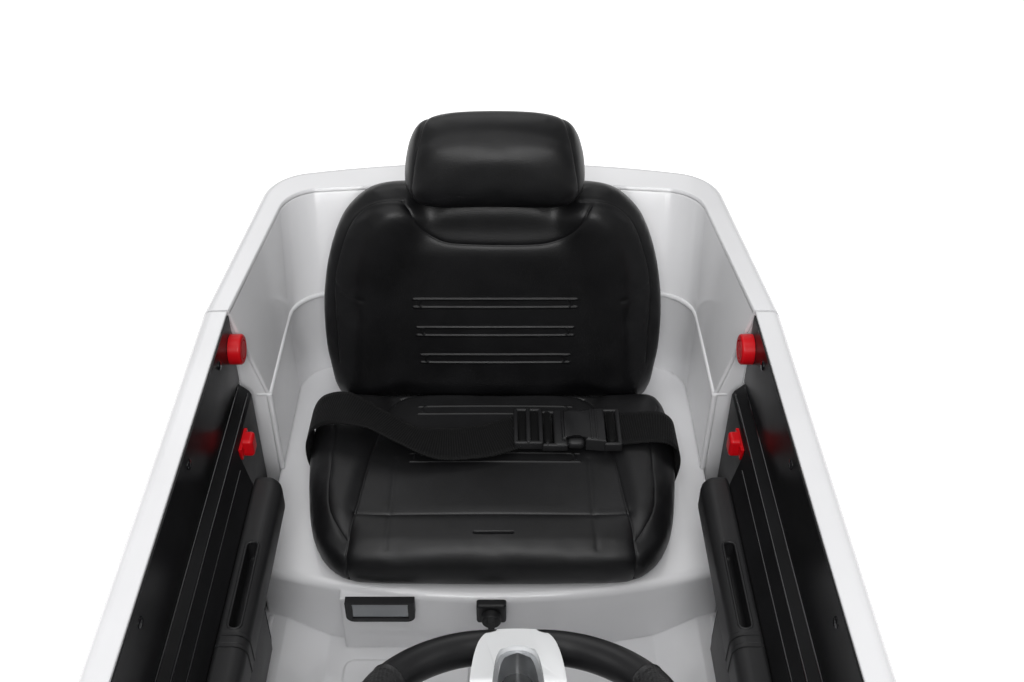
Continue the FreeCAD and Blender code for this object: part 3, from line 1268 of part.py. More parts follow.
def accelerator_pedal():
    y, z = PEDAL_AT
    x0, x1 = PEDAL_X
    plate = block((x0, x1), (-PEDAL_LENGTH, 0), (0, PEDAL_PLATE))
    for i in range(5):
        spot = -PEDAL_LENGTH + 9 + 11 * i
        plate = plate.fuse(block((x0 + 8, x1 - 8), (spot, spot + 4), (PEDAL_PLATE, PEDAL_PLATE + 2)))
    plate.rotate(Vector(), X, -PEDAL_RISE)
    plate.translate(Vector(0, y, z))
    barrel = Part.makeCylinder(BARREL_R, x1 - x0, Vector(x0, y, z), X)
    ends = Part.makeCylinder(TRUNNION_R, x1 - x0 + 2 * EAR, Vector(x0 - EAR, y, z), X)
    return plate.fuse(barrel).fuse(ends).removeSplitter()


for make in (dashboard, shift_lever, power_button, windscreen, accelerator_pedal):
    subpart(make.__name__, feature(make.__name__, make()))
subparts["cockpit_tub"].Shape = subparts["cockpit_tub"].Shape.fuse(pedal_ears()).removeSplitter()


# Seat: cushion, backrest and headrest, each lofted through rounded outlines so that its face is crowned
def capsule(radius, start, end):
    """A rounded channel cutter between two points."""
    shape = Part.makeCylinder(radius, (end - start).Length, start, end - start)
    return shape.fuse(Part.makeSphere(radius, start)).fuse(Part.makeSphere(radius, end))


SOFT_GAP = 0.4                                     # between a soft piece and its neighbours
LEAN = D["back_lean"]
BACK_PLACE = FreeCAD.Placement(Vector(0, D["back_y"], D["cushion_z"]), Rotation(X, -LEAN))
BACK_FOOT = ((D["platform_z"] + SOFT_GAP - D["cushion_z"]) / math.cos(math.radians(LEAN))
             + D["back_thickness"] * math.tan(math.radians(LEAN)))
CROWN = 7.0                                        # side bolsters above the middle panel
CUSHION_LEVELS = ((SOFT_GAP, 6.0), (12.0, 0.0), (30.0, 1.0), (42.0, 8.0), (45.0 + CROWN, 24.0))
BACK_LEVELS = ((-CROWN, 26.0), (0.0, 12.0), (12.0, 1.0), (34.0, 0.0), (D["back_thickness"], 6.0))
HEAD_LEVELS = ((-30.0, 24.0), (-25.0, 9.0), (-13.0, 0.0), (24.0, 0.0), (D["headrest_thickness"] - 30.0, 9.0))
CUSHION_KNEE_Y = 236.0
CUSHION_LIP_HALF = 146.0
CUSHION_BOW_R = 600.0                              # rounding at the middle of the front edge
PANEL_HALF = (104.0, 132.0)                        # middle panel of the cushion, at its rear and front
CUSHION_CHANNELS = ((322.0, 74.0, 4.2), (252.0, 78.0, 4.2), (178.0, 112.0, 2.6))
BACK_CHANNELS = ((100.0, 74.0, 4.2), (68.0, 70.0, 4.2), (38.0, 66.0, 4.2))
BACK_PANEL = (108.0, -24.0, 186.0)                 # half width, foot and top of the middle panel


def cushion_outline(inset, z):
    half, lip = D["cushion_half"] - inset, CUSHION_LIP_HALF - inset
    front, rear = D["cushion_front_y"] + inset, D["cushion_rear_y"]
    right = [(lip, front + D["cushion_bow"], 34.0), (half, CUSHION_KNEE_Y, 60.0), (half, rear, 12.0)]
    left = [(-x, y, r) for x, y, r in reversed(right)]
    return outline([(0, front, CUSHION_BOW_R)] + right + left, lambda p: Vector(p.x, p.y, z))


def seat_cushion():
    base = D["platform_z"]
    solid = Part.makeLoft([cushion_outline(inset, base + up) for up, inset in CUSHION_LEVELS], True, False)
    rear, front = PANEL_HALF
    panel = polygon(mirrored([Vector(front, D["cushion_front_y"] - 5, 0), Vector(rear, D["back_y"] - 10, 0)]))
    panel = prism(panel, D["cushion_z"], D["cushion_z"] + 40)
    panel = panel.makeFillet(16.0, upright_edges(panel, lambda c: c.y > 0.8 * D["back_y"]))
    solid = solid.cut(panel)
    for y, half, radius in CUSHION_CHANNELS:
        z = D["cushion_z"] + radius * 0.35
        solid = solid.cut(capsule(radius, Vector(-half, y, z), Vector(half, y, z)))
    behind_back = block((-FAR, FAR), (-SOFT_GAP - CROWN, FAR), (-FAR, FAR))
    behind_back.Placement = BACK_PLACE
    return solid.cut(behind_back).removeSplitter()


def pad(half, low, high, r_low, r_high, levels):
    """A leaning pad, drawn upright: lofted through its thickness from front to back."""
    sections = []
    for depth, inset in levels:
        below, above = (max(r - inset, 8.0) for r in (r_low, r_high))
        corners = [(half - inset, low + inset, below), (half - inset, high - inset, above),
                   (inset - half, high - inset, above), (inset - half, low + inset, below)]
        sections.append(outline(corners, lambda p, d=depth: Vector(p.x, d, p.y)))
    return Part.makeLoft(sections, True, False)


def back_pad():
    return pad(D["seat_half"], BACK_FOOT, D["back_length"], 32.0, 82.0, BACK_LEVELS)


def seat_back():
    half, low, high = BACK_PANEL
    solid = back_pad()
    panel = block((-half, half), (-FAR, 0), (low, high))
    along = [e for e in panel.Edges if abs(e.tangentAt(e.FirstParameter).y) > 0.9]
    solid = solid.cut(panel.makeFillet(26.0, along))
    for up, reach, radius in BACK_CHANNELS:
        depth = -radius * 0.35
        solid = solid.cut(capsule(radius, Vector(-reach, depth, up), Vector(reach, depth, up)))
    solid.Placement = BACK_PLACE
    return solid


def headrest():
    low = D["back_length"] - 16
    solid = pad(D["headrest_half"], low, low + D["headrest_length"] - 8, 34.0, 36.0, HEAD_LEVELS)
    reach = back_pad().optimalBoundingBox(False, False)
    over_back = block((-FAR, FAR), (reach.YMin - SOFT_GAP, FAR), (-FAR, reach.ZMax + SOFT_GAP))
    solid = solid.cut(over_back)
    solid.Placement = BACK_PLACE
    return solid


for make in (seat_cushion, seat_back, headrest):
    subpart(make.__name__, feature(make.__name__, make()))


# Lap belt: two webbing runs from the gaps beside the seat to a side-release buckle on the cushion
BELT_Y = (258.0, 258.0 + D["belt_width"])
BELT_X = 203.0
BUCKLE_Z = D["cushion_z"] + CROWN + 1.0
BUCKLE_X = (22.0, 76.0, 130.0)                     # plug from, plug to socket, socket to
BUCKLE_Y = (BELT_Y[0] - 4.0, BELT_Y[1] + 4.0)
BELT_LOW = D["platform_z"]


def belt(points):
    """Webbing along a bent line in X and Z; each inner point carries a bend radius."""
    edges = []
    start = Vector(points[0][0], BELT_Y[0], points[0][1])
    for i in range(1, len(points) - 1):
        x, z, radius = points[i]
        here = Vector(x, BELT_Y[0], z)
        back = (Vector(points[i - 1][0], BELT_Y[0], points[i - 1][1]) - here).normalize()
        ahead_of = (Vector(points[i + 1][0], BELT_Y[0], points[i + 1][1]) - here).normalize()
        half = back.getAngle(ahead_of) / 2
        reach = radius / math.tan(half)
        middle = here + (back + ahead_of).normalize() * (radius / math.sin(half) - radius)
        edges.append(Part.LineSegment(start, here + back * reach).toShape())
        edges.append(Part.Arc(here + back * reach, middle, here + ahead_of * reach).toShape())
        start = here + ahead_of * reach
    edges.append(Part.LineSegment(start, Vector(points[-1][0], BELT_Y[0], points[-1][1])).toShape())
    path = Part.Wire(edges)
    half = D["belt_thickness"] / 2
    x, z = points[0][:2]
    corners = [Vector(x - half, BELT_Y[0], z), Vector(x + half, BELT_Y[0], z),
               Vector(x + half, BELT_Y[1], z), Vector(x - half, BELT_Y[1], z)]
    return path.makePipeShell([polygon(corners)], True, False)


def seat_belt_left():
    return belt([(BELT_X, BELT_LOW), (BELT_X, BUCKLE_Z + 14, 16), (168, BUCKLE_Z + 7, 40),
                 (BUCKLE_X[2], BUCKLE_Z + 7)])


def seat_belt_right():
    return belt([(-BELT_X, BELT_LOW), (-BELT_X, BUCKLE_Z + 18, 18), (-140, BUCKLE_Z + 6, 50),
                 (BUCKLE_X[0], BUCKLE_Z + 6)])


def buckle_socket():
    solid = block(BUCKLE_X[1:], BUCKLE_Y, (BUCKLE_Z, BUCKLE_Z + 15))
    solid = solid.makeFillet(5.0, solid.Edges)
    for y in (BUCKLE_Y[0] - 6, BUCKLE_Y[1] + 6):
        solid = solid.cut(Part.makeCylinder(10, 60, Vector(BUCKLE_X[1] + 20, y, BUCKLE_Z - 5), Z))
    return solid.cut(block((BUCKLE_X[2] - 8, BUCKLE_X[2] + 1), BELT_Y, (BUCKLE_Z + 5.5, BUCKLE_Z + 8.5)))


def buckle_plug():
    solid = block(BUCKLE_X[:2], BUCKLE_Y, (BUCKLE_Z, BUCKLE_Z + 12))
    solid = solid.makeFillet(4.0, solid.Edges)
    for x in (BUCKLE_X[0] + 12, BUCKLE_X[0] + 26):
        solid = solid.cut(block((x, x + 6), (BELT_Y[0] + 2, BELT_Y[1] - 2), (BUCKLE_Z + 8, BUCKLE_Z + 13)))
    return solid.cut(block((BUCKLE_X[0] - 1, BUCKLE_X[0] + 8), BELT_Y, (BUCKLE_Z + 4.5, BUCKLE_Z + 7.5)))


# Seat lock and charge port on the front of the seat platform
FACE_Y = D["platform_y"]
LOCK_Z = 189.0
LOCK_KNOB_R = 9.0
PORT_X = (-137.0, -72.0)
PORT_Z = (176.0, 203.5)
PORT_DEPTH = 8.0
FLAP_PIN_R = 1.5
FLAP_Y, FLAP_Z = PORT_FACE_Y - 5.0, PORT_Z[1] - 5.5     # axis of the flap


def seat_lock_bracket():
    plate = block((-14, 14), (FACE_Y - 8, FACE_Y), (LOCK_Z - 12, LOCK_Z + 14))
    plate = plate.makeFillet(3.0, [e for e in plate.Edges if e.CenterOfMass.y < FACE_Y - 0.01])
    return plate.cut(Part.makeCylinder(TRUNNION_R + D["running_gap"], 7, Vector(0, FACE_Y - 9, LOCK_Z), Y))


def seat_lock_knob():
    start = FACE_Y - 8 - LATCH_SLIP
    knob = Part.makeCylinder(LOCK_KNOB_R, 8, Vector(0, start, LOCK_Z), Y * -1)
    knob = knob.makeFillet(2.0, [e for e in knob.Edges if e.Closed and e.CenterOfMass.y < start - 7])
    bar = block((-3, 3), (start - 13, start - 6), (LOCK_Z - 8, LOCK_Z + 8))
    spindle = Part.makeCylinder(TRUNNION_R, 6, Vector(0, start - 1, LOCK_Z), Y)
    return knob.fuse(bar).fuse(spindle).removeSplitter()


def charge_port_frame():
    (x0, x1), (z0, z1) = PORT_X, PORT_Z
    solid = block(PORT_X, (PORT_FACE_Y - PORT_DEPTH, PORT_FACE_Y), PORT_Z)
    low_corners = [e for e in solid.Edges if abs(e.tangentAt(0).y) > 0.9 and e.CenterOfMass.z < z0 + 1]
    solid = solid.makeFillet(8.0, low_corners)
    window = block((x0 + 6, x1 - 6), (PORT_FACE_Y - PORT_DEPTH - 1, PORT_FACE_Y - 2.4), (z0 + 5, z1 - 2))
    pin = Part.makeCylinder(FLAP_PIN_R + D["running_gap"], x1 - x0 - 5, Vector(x0 + 2.5, FLAP_Y, FLAP_Z), X)
    return solid.cut(window).cut(pin)


def charge_port_flap():
    (x0, x1), (z0, z1) = PORT_X, PORT_Z
    plate = block((x0 + 6.5, x1 - 6.5), (FLAP_Y - 1.5, FLAP_Y + 1.5), (z0 + 5.7, FLAP_Z + 1.5))
    pin = Part.makeCylinder(FLAP_PIN_R, x1 - x0 - 6, Vector(x0 + 3, FLAP_Y, FLAP_Z), X)
    return plate.fuse(pin).removeSplitter()


for make in (seat_belt_left, seat_belt_right, buckle_socket, buckle_plug,
             seat_lock_bracket, seat_lock_knob, charge_port_frame, charge_port_flap):
    subpart(make.__name__, feature(make.__name__, make()))




# Checks and export
doc.recompute()
os.makedirs("parts", exist_ok=True)
for obj in doc.Objects:
    if "Invalid" in obj.State or "Error" in obj.State:
        raise SystemExit(f"{obj.Label} failed: {obj.State}")
for label, obj in subparts.items():
    shape = obj.Shape
    if shape.isNull() or not shape.isValid() or not shape.Solids:
        raise SystemExit(f"{label} is not a valid solid")
    print(f"{label}: {len(shape.Solids)} solids, {shape.Volume / 1000:.1f} cm3")
for label, obj in subparts.items():
    obj.Shape.exportStep(os.path.join("parts", label + ".step"))
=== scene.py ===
"""Electric ride-on car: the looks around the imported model."""

import math

import bmesh
import bpy
import numpy as np
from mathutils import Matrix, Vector
from mathutils.bvhtree import BVHTree


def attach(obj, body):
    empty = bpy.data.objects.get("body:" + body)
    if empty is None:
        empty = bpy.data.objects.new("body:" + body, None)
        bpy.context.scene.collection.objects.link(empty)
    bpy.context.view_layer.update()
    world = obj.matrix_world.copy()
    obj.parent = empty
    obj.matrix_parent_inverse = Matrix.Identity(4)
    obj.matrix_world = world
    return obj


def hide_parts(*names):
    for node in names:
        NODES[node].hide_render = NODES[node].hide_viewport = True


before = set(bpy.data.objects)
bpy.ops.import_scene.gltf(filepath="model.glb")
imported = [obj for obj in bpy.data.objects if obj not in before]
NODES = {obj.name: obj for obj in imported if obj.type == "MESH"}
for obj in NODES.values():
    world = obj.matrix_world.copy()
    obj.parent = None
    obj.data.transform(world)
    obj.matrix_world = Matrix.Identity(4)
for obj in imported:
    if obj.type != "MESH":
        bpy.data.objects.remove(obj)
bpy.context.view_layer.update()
SCENE = bpy.context.scene


# Materials
def shader(name):
    """A new material, with its node tree, shader and object coordinates."""
    mat = bpy.data.materials.new(name)
    mat.use_nodes = True
    tree = mat.node_tree
    bsdf = tree.nodes["Principled BSDF"]
    coords = tree.nodes.new("ShaderNodeTexCoord").outputs["Object"]
    return mat, tree, bsdf, coords


def put(node, inputs):
    """Gives a shader node's inputs their values."""
    for name, value in inputs.items():
        node.inputs[name].default_value = value


def noise(tree, coords, scale, detail=3.0):
    """Cloudy values from 0 to 1."""
    node = tree.nodes.new("ShaderNodeTexNoise")
    put(node, {"Scale": scale, "Detail": detail, "Roughness": 0.55})
    tree.links.new(coords, node.inputs["Vector"])
    return node.outputs["Fac"]


def paint(tree, bsdf, fac, low, high, first=0.35, last=0.65):
    """Base colours from low to high as fac goes from first to last."""
    node = tree.nodes.new("ShaderNodeValToRGB")
    node.color_ramp.elements[0].position = first
    node.color_ramp.elements[1].position = last
    node.color_ramp.elements[0].color = (*low, 1)
    node.color_ramp.elements[1].color = (*high, 1)
    tree.links.new(fac, node.inputs["Fac"])
    tree.links.new(node.outputs["Color"], bsdf.inputs["Base Color"])


def spread(tree, fac, low, high):
    """fac from 0 to 1 spread over low to high."""
    node = tree.nodes.new("ShaderNodeMapRange")
    put(node, {"To Min": low, "To Max": high})
    tree.links.new(fac, node.inputs["Value"])
    return node.outputs["Result"]


def gloss(tree, bsdf, fac, low, high):
    """Roughness from low to high as fac goes from 0 to 1."""
    tree.links.new(spread(tree, fac, low, high), bsdf.inputs["Roughness"])


def bump(tree, bsdf, height, strength, distance):
    """Relief from height, linked to the shader."""
    node = tree.nodes.new("ShaderNodeBump")
    put(node, {"Strength": strength, "Distance": distance})
    tree.links.new(height, node.inputs["Height"])
    tree.links.new(node.outputs["Normal"], bsdf.inputs["Normal"])
    return node


def plastic(name, low, high, rough, grain=400.0, depth=0.00004, coat=0.0, strength=0.25,
            edge=0.0, shine=0.5):
    """Moulded plastic: a faint flow in its colour, uneven gloss, fine grain and softened edges."""
    mat, tree, bsdf, coords = shader(name)
    flow = noise(tree, coords, 9.0)
    paint(tree, bsdf, flow, low, high)
    gloss(tree, bsdf, noise(tree, coords, 35.0), *rough)
    relief = bump(tree, bsdf, noise(tree, coords, grain, 2.0), strength, depth)
    if edge:
        soft = tree.nodes.new("ShaderNodeBevel")
        soft.samples = 4
        put(soft, {"Radius": edge})
        tree.links.new(soft.outputs["Normal"], relief.inputs["Normal"])
    put(bsdf, {"Specular IOR Level": shine, "Coat Weight": coat, "Coat Roughness": 0.06})
    return mat


def leather(name, low, high, rough, cell=900.0, strength=0.28, shine=0.38):
    """Grained leather look: small pebbles with creases between them."""
    mat, tree, bsdf, coords = shader(name)
    wear = noise(tree, coords, 22.0, 4.0)
    paint(tree, bsdf, wear, low, high)
    gloss(tree, bsdf, noise(tree, coords, 60.0), *rough)
    pebble = tree.nodes.new("ShaderNodeTexVoronoi")
    pebble.feature = "SMOOTH_F1"
    put(pebble, {"Scale": cell, "Smoothness": 0.6})
    tree.links.new(coords, pebble.inputs["Vector"])
    bump(tree, bsdf, pebble.outputs["Distance"], strength, 0.00022)
    put(bsdf, {"Specular IOR Level": shine})
    return mat


WEAVE_ALONG, WEAVE_ACROSS = 130.0, 190.0


def woven(name, low, high):
    """Webbing: ribs of a flat weave, one way across the other."""
    mat, tree, bsdf, coords = shader(name)
    waves = []
    for direction, scale in (("X", WEAVE_ALONG), ("Y", WEAVE_ACROSS)):
        wave = tree.nodes.new("ShaderNodeTexWave")
        wave.bands_direction = direction
        put(wave, {"Scale": scale, "Distortion": 0.6, "Detail": 1.0})
        uv = tree.nodes.new("ShaderNodeTexCoord").outputs["UV"]
        tree.links.new(uv, wave.inputs["Vector"])
        waves.append(wave.outputs["Fac"])
    weave = tree.nodes.new("ShaderNodeMath")
    weave.operation = "MULTIPLY"
    tree.links.new(waves[0], weave.inputs[0])
    tree.links.new(waves[1], weave.inputs[1])
    # The colour follows the weave's relief: painted shade in its dips and a painted highlight on
    # its raised crossings.
    paint(tree, bsdf, weave.outputs[0], low, high, 0.05, 0.9)
    gloss(tree, bsdf, noise(tree, coords, 90.0), 0.62, 0.8)
    bump(tree, bsdf, weave.outputs[0], 0.6, 0.0006)
    put(bsdf, {"Specular IOR Level": 0.2, "Sheen Weight": 0.03, "Sheen Roughness": 0.4})
    return mat


def metal(name, low, high, rough):
    """Bare metal with a faint grain."""
    mat = plastic(name, low, high, rough, grain=250.0, depth=0.00003, strength=0.1)
    put(mat.node_tree.nodes["Principled BSDF"], {"Metallic": 1.0})
    return mat


ACRYLIC_IOR = 1.49


def clear(name, low, high, rough, transmission):
    """See-through plastic."""
    mat = plastic(name, low, high, rough, grain=60.0, depth=0.00001, strength=0.03)
    put(mat.node_tree.nodes["Principled BSDF"],
        {"Transmission Weight": transmission, "IOR": ACRYLIC_IOR})
    return mat


# Each slot's maker, darker and lighter colour, range of roughness, and what else it sets
LOOKS = {
    "white_gloss": (plastic, (0.82, 0.82, 0.835), (0.86, 0.86, 0.875), (0.16, 0.24),
                    dict(grain=300.0, depth=0.00003, coat=0.5, strength=0.12, edge=0.0035)),
    "black_matte": (plastic, (0.010, 0.010, 0.011), (0.016, 0.016, 0.017), (0.42, 0.56),
                    dict(grain=1300.0, depth=0.00009, strength=0.35, shine=0.4)),
    "black_gloss": (plastic, (0.006, 0.006, 0.007), (0.010, 0.010, 0.012), (0.10, 0.18),
                    dict(grain=260.0, depth=0.00003, coat=0.4, strength=0.1)),
    "smoke_clear": (clear, (0.30, 0.32, 0.34), (0.36, 0.38, 0.40), (0.04, 0.09),
                    dict(transmission=0.9)),
    "lamp_clear": (clear, (0.86, 0.88, 0.90), (0.92, 0.94, 0.96), (0.04, 0.10),
                   dict(transmission=0.75)),
    "lamp_red": (plastic, (0.24, 0.003, 0.004), (0.32, 0.005, 0.006), (0.12, 0.20),
                 dict(grain=200.0, depth=0.00003, strength=0.1, shine=0.3)),
    "steel": (metal, (0.50, 0.51, 0.53), (0.60, 0.61, 0.62), (0.28, 0.42), {}),
    "motor_can": (metal, (0.32, 0.33, 0.35), (0.40, 0.41, 0.43), (0.30, 0.45), {}),
    "battery_case": (plastic, (0.05, 0.06, 0.08), (0.07, 0.08, 0.10), (0.40, 0.55), {}),
    "seat_leather": (leather, (0.0065, 0.0065, 0.007), (0.0105, 0.0105, 0.0115), (0.36, 0.48), {}),
    "webbing": (woven, (0.0012, 0.0012, 0.0014), (0.009, 0.009, 0.0095), {}),
    "red_plastic": (plastic, (0.54, 0.003, 0.007), (0.62, 0.005, 0.010), (0.28, 0.38),
                    dict(grain=500.0, strength=0.15, shine=0.3)),
    "wheel_grip": (leather, (0.009, 0.009, 0.010), (0.014, 0.014, 0.015), (0.30, 0.40),
                   dict(cell=1400.0, strength=0.12)),
    "bright_trim": (plastic, (0.86, 0.87, 0.88), (0.90, 0.91, 0.92), (0.12, 0.20),
                    dict(grain=300.0, depth=0.00002, coat=0.7, strength=0.1)),
    "smoke_grey": (clear, (0.40, 0.42, 0.44), (0.46, 0.48, 0.50), (0.10, 0.2),
                   dict(transmission=0.35)),
    "tyre_black": (plastic, (0.011, 0.011, 0.011), (0.020, 0.019, 0.018), (0.55, 0.75),
                   dict(grain=700.0, depth=0.00012, strength=0.4)),
    "rim_silver": (plastic, (0.42, 0.43, 0.45), (0.50, 0.51, 0.53), (0.22, 0.32),
                   dict(grain=500.0, depth=0.00003, coat=0.4, strength=0.15)),
}
MATERIALS = {name: make(name, *look, **more) for name, (make, *look, more) in LOOKS.items()}


def perforated(name, low, high, rough):
    """Smooth leather with rows of small punched holes."""
    mat, tree, bsdf, coords = shader(name)
    cells = tree.nodes.new("ShaderNodeTexVoronoi")
    put(cells, {"Scale": 420.0, "Randomness": 0.25})
    tree.links.new(coords, cells.inputs["Vector"])
    # The holes are painted darker than the leather: painted shade inside them.
    paint(tree, bsdf, cells.outputs["Distance"], low, high, 0.22, 0.34)
    gloss(tree, bsdf, noise(tree, coords, 60.0), *rough)
    bump(tree, bsdf, cells.outputs["Distance"], 0.7, 0.0005)
    return mat


# Heights on a door between which its panel goes from satin to gloss, and its roughness there
PANEL_SATIN_Z, PANEL_GLOSS_Z = 0.326, 0.336
PANEL_SATIN, PANEL_GLOSS = 0.46, 0.30


def panel_plastic(name):
    """Door panel: glossy above the ledge and satin below it, with a fine grain."""
    mat, tree, bsdf, coords = shader(name)
    paint(tree, bsdf, noise(tree, coords, 12.0), (0.0045, 0.0045, 0.005), (0.008, 0.008, 0.009))
    split = tree.nodes.new("ShaderNodeSeparateXYZ")
    tree.links.new(coords, split.inputs["Vector"])
    height = tree.nodes.new("ShaderNodeMapRange")
    put(height, {"From Min": PANEL_SATIN_Z, "From Max": PANEL_GLOSS_Z,
                 "To Min": PANEL_SATIN, "To Max": PANEL_GLOSS})
    tree.links.new(split.outputs["Z"], height.inputs["Value"])
    haze = tree.nodes.new("ShaderNodeMath")
    haze.operation = "MULTIPLY"
    tree.links.new(height.outputs["Result"], haze.inputs[0])
    tree.links.new(spread(tree, noise(tree, coords, 40.0), 0.85, 1.15), haze.inputs[1])
    tree.links.new(haze.outputs[0], bsdf.inputs["Roughness"])
    bump(tree, bsdf, noise(tree, coords, 900.0, 2.0), 0.2, 0.00005)
    put(bsdf, {"Specular IOR Level": 0.3})
    return mat


# A darker copy of the seat leather for the backrest and headrest: painted shade that makes them
# look less lit than the cushion.
SHADED_LEATHER_COPY = leather("seat_leather_painted_shade", (0.0035, 0.0035, 0.004), (0.0065, 0.0065, 0.0072),
                       (0.31, 0.42), shine=0.27)
DOOR_PANEL = panel_plastic("door_panel_plastic")
PERFORATED = perforated("wheel_perforated", (0.002, 0.002, 0.002), (0.014, 0.014, 0.015),
                        (0.36, 0.46))


def dress(obj, slot):
    """Gives a piece its slot's material."""
    obj.data.materials.clear()
    obj.data.materials.append(MATERIALS[slot])


def slot_of(node):
    """The record's slot of a node, from its own first material name."""
    return NODES[node].material_slots[0].material.name.split(".")[0]


for node_name, node_obj in NODES.items():
    found = slot_of(node_name)
    if found in MATERIALS:
        dress(node_obj, found)
for panel in ("door_panel_left", "door_panel_right"):
    NODES[panel].data.materials[0] = DOOR_PANEL


# Mesh helpers
def linked(name, data):
    """A new object in the scene."""
    obj = bpy.data.objects.new(name, data)
    SCENE.collection.objects.link(obj)
    return obj


def new_object(name, mesh, slot, body, *stands_for):
    """A piece in the shared frame, dressed, riding on its body and standing for CAD nodes."""
    obj = linked(name, mesh)
    dress(obj, slot)
    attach(obj, body)
    if stands_for:
        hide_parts(*stands_for)
    return obj


def mesh_of(name, points, faces):
    """A smooth mesh with its faces turned outwards."""
    mesh = bpy.data.meshes.new(name)
    mesh.from_pydata([tuple(p) for p in points], [], faces)
    bm = bmesh.new()
    bm.from_mesh(mesh)
    bmesh.ops.recalc_face_normals(bm, faces=bm.faces)
    bm.to_mesh(mesh)
    bm.free()
    mesh.shade_smooth()
    return mesh


def spline(points, step, closed=False):
    """Points a step apart on a smooth curve through the given ones."""
    p = np.array(points, float)
    count = len(p)
    spans = count if closed else count - 1
    out = []
    for i in range(spans):
        if closed:
            p0, p1, p2, p3 = (p[(i + k) % count] for k in (-1, 0, 1, 2))
        else:
            p0, p1, p2, p3 = p[max(i - 1, 0)], p[i], p[i + 1], p[min(i + 2, count - 1)]
        parts = max(2, int(np.linalg.norm(p2 - p1) / step))
        t = np.linspace(0, 1, parts, endpoint=False)[:, None]
        out.append(0.5 * (2 * p1 + (p2 - p0) * t + (2 * p0 - 5 * p1 + 4 * p2 - p3) * t ** 2
                          + (3 * p1 - p0 - 3 * p2 + p3) * t ** 3))
    if not closed:
        out.append(p[-1:])
    return np.concatenate(out)


def both_sides(points):
    """A half outline, from the middle round the +X side, closed by its mirror image."""
    half = list(points)
    return half + [(-x, b) for x, b in reversed(half) if x > 1e-6]


def across_middle(half):
    """An open line, from the +X side to the middle, carried on by its mirror image."""
    return list(half) + [(-x, y) for x, y in reversed(half[:-1])]


def inset(outline, by):
    """A closed outline moved inwards."""
    ahead, behind = np.roll(outline, -1, 0), np.roll(outline, 1, 0)
    along = ahead - behind
    along /= np.linalg.norm(along, axis=1)[:, None]
    side = np.stack([along[:, 1], -along[:, 0]], 1)
    x, y = outline[:, 0], outline[:, 1]
    turn = np.sum(x * np.roll(y, -1) - np.roll(x, -1) * y)
    return outline - side * by * (1 if turn > 0 else -1)


def even(outline, count):
    """A closed outline as count points at even steps."""
    loop = np.concatenate([outline, outline[:1]])
    run = np.concatenate([[0], np.cumsum(np.linalg.norm(np.diff(loop, axis=0), axis=1))])
    at = np.linspace(0, run[-1], count, endpoint=False)
    return np.stack([np.interp(at, run, loop[:, k]) for k in range(2)], 1)


def stack(name, rings):
    """A closed mesh through rings of as many points, capped at both ends."""
    count = len(rings[0])
    points = np.concatenate(rings)
    faces = []
    for r in range(len(rings) - 1):
        for i in range(count):
            j = (i + 1) % count
            low, high = r * count, (r + 1) * count
            faces.append((low + i, low + j, high + j, high + i))
    faces.append(tuple(range(count)))
    faces.append(tuple(range((len(rings) - 1) * count, len(rings) * count)))
    return mesh_of(name, points, faces)


def evaluated(obj):
    """The mesh of an object with its modifiers, as a new mesh."""
    graph = bpy.context.evaluated_depsgraph_get()
    return bpy.data.meshes.new_from_object(obj.evaluated_get(graph))


def settle(obj):
    """Applies an object's modifiers to its mesh."""
    mesh = evaluated(obj)
    obj.modifiers.clear()
    obj.data = mesh


def surface(mesh):
    """A mesh's faces, for rays and nearest points."""
    return BVHTree.FromPolygons([v.co for v in mesh.vertices],
                                [p.vertices for p in mesh.polygons])


def coordinates(mesh, kind="co"):
    """Each vertex's place, or its normal."""
    co = np.zeros(len(mesh.vertices) * 3)
    mesh.vertices.foreach_get(kind, co)
    return co.reshape(-1, 3)


def put_coordinates(mesh, co):
    mesh.vertices.foreach_set("co", np.asarray(co, np.float32).ravel())
    mesh.update()


def smoothstep(x, low, high):
    t = np.clip((x - low) / (high - low), 0, 1)
    return t * t * (3 - 2 * t)


def soften(obj, steps):
    smooth = obj.modifiers.new("soften", "SMOOTH")
    smooth.factor = 0.5
    smooth.iterations = steps


CLOTH_FRAMES, CLOTH_PRESSURE = 20, 3.0


def padded_form(name, rings, voxel, shape, cap, calm):
    """A pad: even faces over the rings, shaped, swollen by a short cloth run, then calmed.

    cap is how far a point may move in the run, calm the number of smoothing steps after it.
    """
    obj = linked(name, stack(name, rings))
    remesh = obj.modifiers.new("even", "REMESH")
    remesh.mode = "VOXEL"
    remesh.voxel_size = voxel
    soften(obj, 6)
    settle(obj)
    rest = shape(coordinates(obj.data))
    put_coordinates(obj.data, rest)
    cloth = obj.modifiers.new("swell", "CLOTH")
    cloth.settings.use_pressure = True
    cloth.settings.uniform_pressure_force = CLOTH_PRESSURE
    cloth.settings.effector_weights.gravity = 0.0
    cloth.point_cache.frame_start = 1
    cloth.point_cache.frame_end = CLOTH_FRAMES
    for number in range(1, CLOTH_FRAMES + 1):
        SCENE.frame_set(number)
    mesh = evaluated(obj)
    step = coordinates(mesh) - rest
    obj.modifiers.clear()
    SCENE.frame_set(1)
    far = np.linalg.norm(step, axis=1)[:, None]
    put_coordinates(obj.data, rest + step * np.minimum(1, cap / np.maximum(far, 1e-9)))
    soften(obj, calm)
    divide = obj.modifiers.new("divide", "SUBSURF")
    divide.levels = 1
    divide.render_levels = 1
    settle(obj)
    return obj


def line_distance(co, line, limit):
    """Distance of each point to a polyline, or limit where it is further."""
    best = np.full(len(co), limit)
    low, high = line.min(0) - limit, line.max(0) + limit
    near = np.where(np.all((co > low) & (co < high), axis=1))[0]
    points = co[near]
    for start, end in zip(line[:-1], line[1:]):
        d = end - start
        t = np.clip((points - start) @ d / max(d @ d, 1e-12), 0, 1)
        gap = np.linalg.norm(points - start - t[:, None] * d, axis=1)
        best[near] = np.minimum(best[near], gap)
    return best


